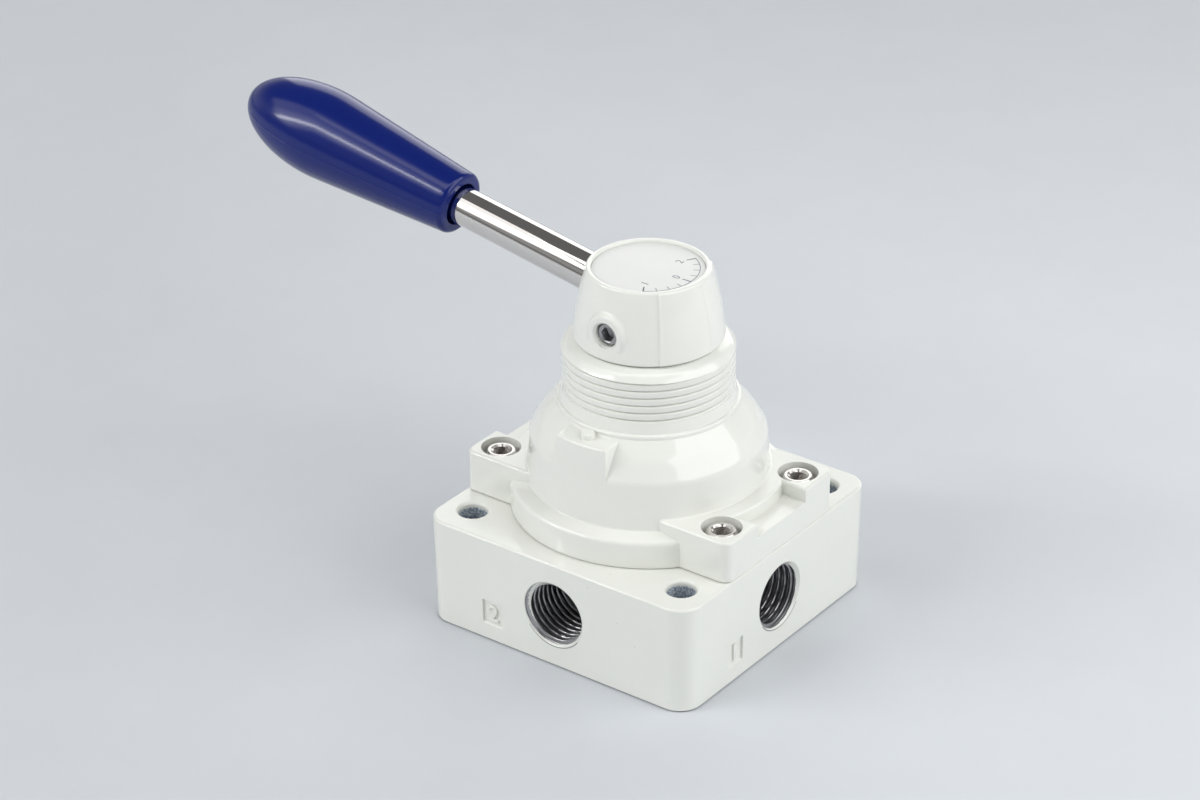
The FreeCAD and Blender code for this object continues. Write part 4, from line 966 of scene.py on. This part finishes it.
def set_screw():
    """Threaded set screw along -Y: a turned profile with a hexagon socket, its side waved by a thread."""
    start, end = SET_START, SET_END
    rim = SET_FLATS / 2 / math.cos(math.pi / 6)
    profile = rounded_line([
        (0, start, 0), (1.7, start, 0), (SET_RADIUS, start + 0.6, 0), (SET_RADIUS, end - 0.3, 0),
        (1.9, end, 0), (rim + 0.12, end, 0), (rim, end - 0.12, 0), (rim, end - 1.8, 0), (0, end - 2.4, 0)])

    def shape(radius, height, angle):
        side = radius > 2.1
        radius = radius - 0.2 * side * land(height / SET_PITCH - angle / TURN, 2)
        socket = (radius < rim + 0.01) & (height > end - 2.45) & (height < end - 0.05)
        return np.where(socket, radius / rim * hexagon(angle, SET_FLATS), radius)

    grid = turned(refined(profile, 0.14), steps_round(72), shape)
    return np.stack([grid[..., 0], -grid[..., 2], SET_HEIGHT + grid[..., 1]], -1)


class VALVE_OT_dial(ValvePiece, bpy.types.Operator):
    """Dial plate with plain numbers, ticks and an arc"""

    bl_idname = "valve.dial"
    bl_label = "Dial Plate"

    def build(self, sizes, colours):
        plate = rounded_line([(0, DISH_FLOOR, 0), (PLATE_RADIUS, DISH_FLOOR, 0),
                              (PLATE_RADIUS, PLATE_TOP, 0.06), (0, PLATE_TOP, 0)])
        white = coated("dial white", (0.76, 0.77, 0.755), (0.73, 0.74, 0.725), 0.42, 900.0, 0.004)
        ink_colour = tuple(colours.print_ink)
        ink = coated("dial ink", ink_colour, tuple(1.15 * c for c in ink_colour), 0.5, 3000.0, 0.002)
        show(closed_mesh("dial_face", [turned(plate, steps_round(160))]), "rotor",
             [white], 40, ["dial_plate"])
        grids = [bar(8.2, math.radians(a), 0.14) for a in range(30, 151, 15)]
        grids += [bar(7.6, math.radians(a), 0.24) for a in (30, 90, 150)]
        grids.append(arc_bar(math.radians(29.5), math.radians(150.5), 0.14))
        show(closed_mesh("dial_ticks", grids), "rotor", [ink], 40)
        for azimuth, number in ((30, "1"), (90, "0"), (150, "2")):
            mesh = flat_word(number, NUMBER_SIZE, INK_TOP, 0, "dial_number_" + number)
            middle = polar(NUMBER_RADIUS, math.radians(azimuth), PLATE_TOP + INK_FOOT)
            across, up, out = mesh_points(mesh).T
            set_points(mesh, middle + np.stack([-up, across, out], -1))
            show(tidied(mesh), "rotor", [ink])


def ink_line(width):
    """Corners of an ink line's section, as distances across and heights."""
    across = np.array([-width / 2, width / 2, width / 2, -width / 2])
    return across, np.array([INK_FOOT, INK_FOOT, INK_TOP, INK_TOP])


def bar(inner, azimuth, width):
    """Tick of ink at an azimuth, from a radius out to the arc, as a closed grid."""
    across, height = ink_line(width)
    open_share = np.array([0, 1, 1, 0])[:, None]
    side = across * open_share
    level = PLATE_TOP + INK_TOP / 2 * (1 - open_share) + height * open_share
    out = np.array([inner, inner, TICK_RADIUS, TICK_RADIUS])[:, None] * np.ones((1, 4))
    s, c = math.sin(azimuth), math.cos(azimuth)
    return np.stack([out * s + side * c, -out * c + side * s, level], -1)


def arc_bar(start, end, width):
    """Arc of ink through the ticks' ends, between two azimuths, as a closed grid."""
    across, height = ink_line(width)
    around = np.concatenate([[start], np.linspace(start, end, 49), [end]])[:, None]
    open_share = np.ones((51, 1))
    open_share[[0, -1]] = 0
    return polar(TICK_RADIUS + across * open_share, around, PLATE_TOP + height * open_share)


class VALVE_OT_rod(ValvePiece, bpy.types.Operator):
    """Chromed lever rod"""

    bl_idname = "valve.rod"
    bl_label = "Lever Rod"

    def build(self, sizes, colours):
        profile = rounded_line([
            (0, ROD_START, 0), (ROD_RADIUS, ROD_START, 0.3), (ROD_RADIUS, ROD_SHOULDER, 0.3),
            (ROD_END_RADIUS, ROD_SHOULDER, 0), (ROD_END_RADIUS, ROD_END, 0.5), (0, ROD_END, 0)])
        grid = on_lever(turned(profile, steps_round(160)))
        show(closed_mesh("lever_rod_chrome", [grid]), "rotor", [chrome()], 35, ["lever_rod"])


class VALVE_OT_grip(ValvePiece, bpy.types.Operator):
    """Moulded grip with a faint mould seam"""

    bl_idname = "valve.grip"
    bl_label = "Grip"

    def build(self, sizes, colours):
        bend = np.linspace(math.acos((GRIP_BEND - GRIP_CENTRE) / GRIP_HALF), 0.0, 60)
        tip = np.stack([GRIP_RADIUS * np.sin(bend), GRIP_CENTRE + GRIP_HALF * np.cos(bend)], -1)
        tip[-1, 0] = 0
        mouth = rounded_line([
            (0, 61.05, 0), (4.4, 61.05, 0), (4.4, 47.1, 0), (3.92, 47.1, 0), (3.92, 45.3, 0),
            (4.08, 44.9, 0.1), (4.15, GRIP_MOUTH, 0.2), (6.1, GRIP_MOUTH, 1.1), (*tip[0], 0)], 9)
        rows = refined(np.concatenate([mouth[:-1], tip]), 1.0)

        def seam(radius, height, angle):
            near = np.minimum(np.abs(angle), TURN - np.abs(angle)), np.abs(angle - math.pi)
            ridge = sum(np.maximum(0, 1 - gap * radius / 0.16) for gap in near)
            return radius + 0.07 * ridge * (radius > 5.5)

        grid = turned(rows, angles(180, (0, math.pi), 0.03, 13), seam)
        blue = tuple(colours.grip)
        plastic = coated("grip blue", blue, tuple(1.1 * c for c in blue), 0.16, 420.0, 0.003, 0.12,
                         (0.05, 0.07, 0.2), ior=1.44, rough_play=0.02)
        show(closed_mesh("grip_moulded", [on_lever(grid)]), "rotor", [plastic], 35, ["grip"])


# Material, light tone, dark tone, roughness, metallic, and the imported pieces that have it
INNER = (
    ("seal rubber", (0.05, 0.05, 0.05), (0.035, 0.035, 0.035), 0.6, 0.0,
     ("seat_gasket", "body_o_ring", "spindle_o_ring")),
    ("bearing bronze", (0.62, 0.42, 0.18), (0.52, 0.34, 0.14), 0.35, 1.0, ("spindle_bush", "grip_insert")),
    ("bearing plastic", (0.78, 0.76, 0.7), (0.72, 0.7, 0.64), 0.5, 0.0, ("thrust_washer", "rotary_disc")),
    ("turned aluminium", (0.60, 0.61, 0.62), (0.5, 0.51, 0.52), 0.3, 1.0, ("spindle",)),
    ("spring steel", (0.5, 0.5, 0.5), (0.4, 0.4, 0.4), 0.3, 1.0,
     ("disc_spring", "detent_spring_left", "detent_spring_right")),
    ("ground steel", (0.58, 0.58, 0.59), (0.5, 0.5, 0.51), 0.2, 1.0, ("drive_pins",)),
    ("ball steel", (0.7, 0.7, 0.72), (0.62, 0.62, 0.64), 0.08, 1.0,
     ("detent_ball_left", "detent_ball_right")),
)


class VALVE_OT_inner(ValvePiece, bpy.types.Operator):
    """Materials of the pieces inside the valve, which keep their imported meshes"""

    bl_idname = "valve.inner"
    bl_label = "Inner Pieces"

    def build(self, sizes, colours):
        for name, light, dark, roughness, metallic, nodes in INNER:
            material = coated(name, light, dark, roughness, 1500.0, 0.006, metallic=metallic)
            for node in nodes:
                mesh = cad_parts[node].data
                mesh.materials.clear()
                mesh.materials.append(material)


# Stage

CAMERA_PLACE = (0.3564, -0.4905, 0.3738)
CAMERA_AZIMUTH = math.radians(36.85)
CAMERA_ELEVATION = math.radians(28.66)
CAMERA_ROLL = math.radians(-0.49)
CAMERA_LENS = 112.34
FLOOR_HALF = 6
FLOOR_CELLS = 12
FLOOR_LEVEL = -0.0003
LAMPS_AIM = (0, 0, 0.04)


def camera_frame():
    """World matrix of the camera: it looks down its -Z, turned by azimuth, elevation and roll."""
    a, e, r = CAMERA_AZIMUTH, CAMERA_ELEVATION, CAMERA_ROLL
    right = np.array([math.cos(a), math.sin(a), 0])
    back = np.array([math.sin(a) * math.cos(e), -math.cos(a) * math.cos(e), math.sin(e)])
    down = -np.cross(back, right)
    turned_right = math.cos(r) * right - math.sin(r) * down
    turned_down = math.sin(r) * right + math.cos(r) * down
    matrix = np.eye(4)
    matrix[:3] = np.stack([turned_right, -turned_down, back, CAMERA_PLACE], 1)
    return Matrix(matrix.tolist())


def softbox(name, direction, distance, width, height, radiance, across=None):
    """Area lamp that faces the valve, its width along across. Its power is radiance * pi * area."""
    lamp = bpy.data.lights.new(name, "AREA")
    lamp.shape = "RECTANGLE"
    lamp.size, lamp.size_y = width, height
    lamp.energy = radiance * math.pi * width * height
    obj = new_object(name, lamp)
    out = Vector(direction).normalized()
    side = Vector(across or (-out.y, out.x, 0)).cross(out).normalized().cross(out) * -1
    turn = Matrix((side, out.cross(side), out)).transposed().to_4x4()
    obj.matrix_world = Matrix.Translation(out * distance + Vector(LAMPS_AIM)) @ turn


class VALVE_OT_stage(ValvePiece, bpy.types.Operator):
    """Pale floor, softboxes, world and camera"""

    bl_idname = "valve.stage"
    bl_label = "Studio Stage"

    def build(self, sizes, colours):
        scene = bpy.context.scene
        lights = scene.valve_lights
        backdrop = tuple(colours.backdrop)
        camera = new_object("camera", bpy.data.cameras.new("camera"))
        camera.data.sensor_width = 36
        camera.data.lens = CAMERA_LENS
        camera.data.clip_start = 0.01
        camera.matrix_world = camera_frame()
        scene.camera = camera

        count = FLOOR_CELLS + 1
        line = np.linspace(-FLOOR_HALF, FLOOR_HALF, count)
        spots = [(x, y, FLOOR_LEVEL) for x in line for y in line]
        first = (np.arange(FLOOR_CELLS)[:, None] * count + np.arange(FLOOR_CELLS)).ravel()
        faces = np.stack([first, first + count, first + count + 1, first + 1], -1)
        floor_mesh = bpy.data.meshes.new("floor")
        floor_mesh.from_pydata(spots, [], faces.tolist())
        floor_mesh.materials.append(self.floor_material(backdrop))
        new_object("floor", floor_mesh)

        falling = (0.9, 0, 0.43)
        softbox("front_softbox", (-0.53, -0.53, 0.63), 1.0, 0.72, 0.76, lights.key, falling)
        softbox("front_softbox_middle", (-0.53, -0.62, 0.55), 0.99, 0.72, 0.36, lights.key * 0.9, falling)
        softbox("front_softbox_core", (-0.53, -0.65, 0.525), 0.98, 0.72, 0.06, lights.core, falling)
        softbox("top_softbox", (0.181, -0.102, 0.978), 1.0, 1.3, 0.3, lights.top, (0.75, 0.66, 0))
        softbox("side_softbox", (0.81, 0.18, 0.6), 1.0, 1.25, 0.7, lights.side)
        softbox("back_panel", (-0.38, 0.87, 0.36), 1.2, 1.1, 0.75, lights.back)
        self.world(scene, lights, backdrop)

        scene.view_settings.view_transform = "Standard"

    def floor_material(self, colour):
        """Paper with painted shade: its colour darkens slowly to the camera's left and away from it."""
        material, tree, shader, place = new_material("floor paper")
        skin = cast_skin(tree, place, 40.0)
        # Painted shade: darker towards the camera's left and away from the camera, with a little random
        # tone on top
        left = spread(tree, along(tree, place, (-0.8, -0.6, 0)), -0.12, 0.12, 0, 1)
        away = spread(tree, along(tree, place, (-0.6, 0.8, 0)), 0.08, 0.3, 0, 1)
        tone = sums(tree, "ADD", sums(tree, "MAXIMUM", left, away),
                    spread(tree, skin.outputs["Tone"], 0.3, 0.7, -0.06, 0.06))
        far_painted_shade = tuple(0.84 * c for c in colour)
        set_inputs(tree, shader, Base_Color=blend_colours(tree, tone, colour, far_painted_shade), Roughness=0.9)
        return material

    def world(self, scene, lights, backdrop):
        """Room: pale walls and a dark ceiling for light and mirrors, the backdrop for the camera.

        Mirrors also show the front wall as dark, with darker level lines across it.
        """
        world = bpy.data.worlds.new("studio")
        scene.world = world
        world.use_nodes = True
        tree = world.node_tree
        tree.nodes.clear()
        path = add(tree, "LightPath")
        glossy = path.outputs["Is Glossy Ray"]
        look = add(tree, "SeparateXYZ", Vector=add(tree, "TexCoord").outputs["Generated"])
        height = spread(tree, look.outputs["Z"], 0.18, 0.5, 0, 1)
        lines = sums(tree, "PINGPONG", sums(tree, "SUBTRACT", look.outputs["Z"], 0.07), 0.19)
        dark = spread(tree, lines, 0.02, 0.07, 1.0, 0.6)
        front = sums(tree, "MULTIPLY", spread(tree, look.outputs["Y"], -0.15, -0.5, 0, 1), dark)
        shade = sums(tree, "MAXIMUM", height, sums(tree, "MULTIPLY", front, glossy))
        walls = blend_colours(tree, glossy, (lights.horizon,) * 3, (lights.mirrored,) * 3)
        room = blend_colours(tree, shade, walls, (lights.ceiling,) * 3)
        seen = blend_colours(tree, path.outputs["Is Camera Ray"], room, backdrop)
        add(tree, "OutputWorld", Surface=add(tree, "Background", Color=seen).outputs[0])


PIECES = (VALVE_OT_base, VALVE_OT_ports, VALVE_OT_port_numbers, VALVE_OT_cover, VALVE_OT_dome,
          VALVE_OT_collar, VALVE_OT_screws, VALVE_OT_head, VALVE_OT_dial, VALVE_OT_rod, VALVE_OT_grip,
          VALVE_OT_inner, VALVE_OT_stage)


class VALVE_PT_panel(bpy.types.Panel):
    """Lists the pieces, sizes, colours and lamps of the valve"""

    bl_idname = "VALVE_PT_panel"
    bl_label = "Hand Lever Air Valve"
    bl_space_type = "VIEW_3D"
    bl_region_type = "UI"
    bl_category = "Valve"

    def draw(self, context):
        scene = context.scene
        for title, group in (("Sizes", scene.valve_sizes), ("Colours", scene.valve_colours),
                             ("Lamps", scene.valve_lights)):
            box = self.layout.box()
            box.label(text=title)
            for name in group.__annotations__:
                box.prop(group, name)
        column = self.layout.column()
        for piece in PIECES:
            column.operator(piece.bl_idname)


CLASSES = (ValveSizes, ValveColours, ValveLights, *PIECES, VALVE_PT_panel)


def register():
    for item in CLASSES:
        bpy.utils.register_class(item)
    bpy.types.Scene.valve_sizes = PointerProperty(type=ValveSizes)
    bpy.types.Scene.valve_colours = PointerProperty(type=ValveColours)
    bpy.types.Scene.valve_lights = PointerProperty(type=ValveLights)


def unregister():
    del bpy.types.Scene.valve_lights, bpy.types.Scene.valve_colours, bpy.types.Scene.valve_sizes
    for item in reversed(CLASSES):
        bpy.utils.unregister_class(item)


def main():
    register()
    for piece in PIECES:
        getattr(bpy.ops.valve, piece.bl_idname.split(".")[1])()


if __name__ == "__main__":
    main()
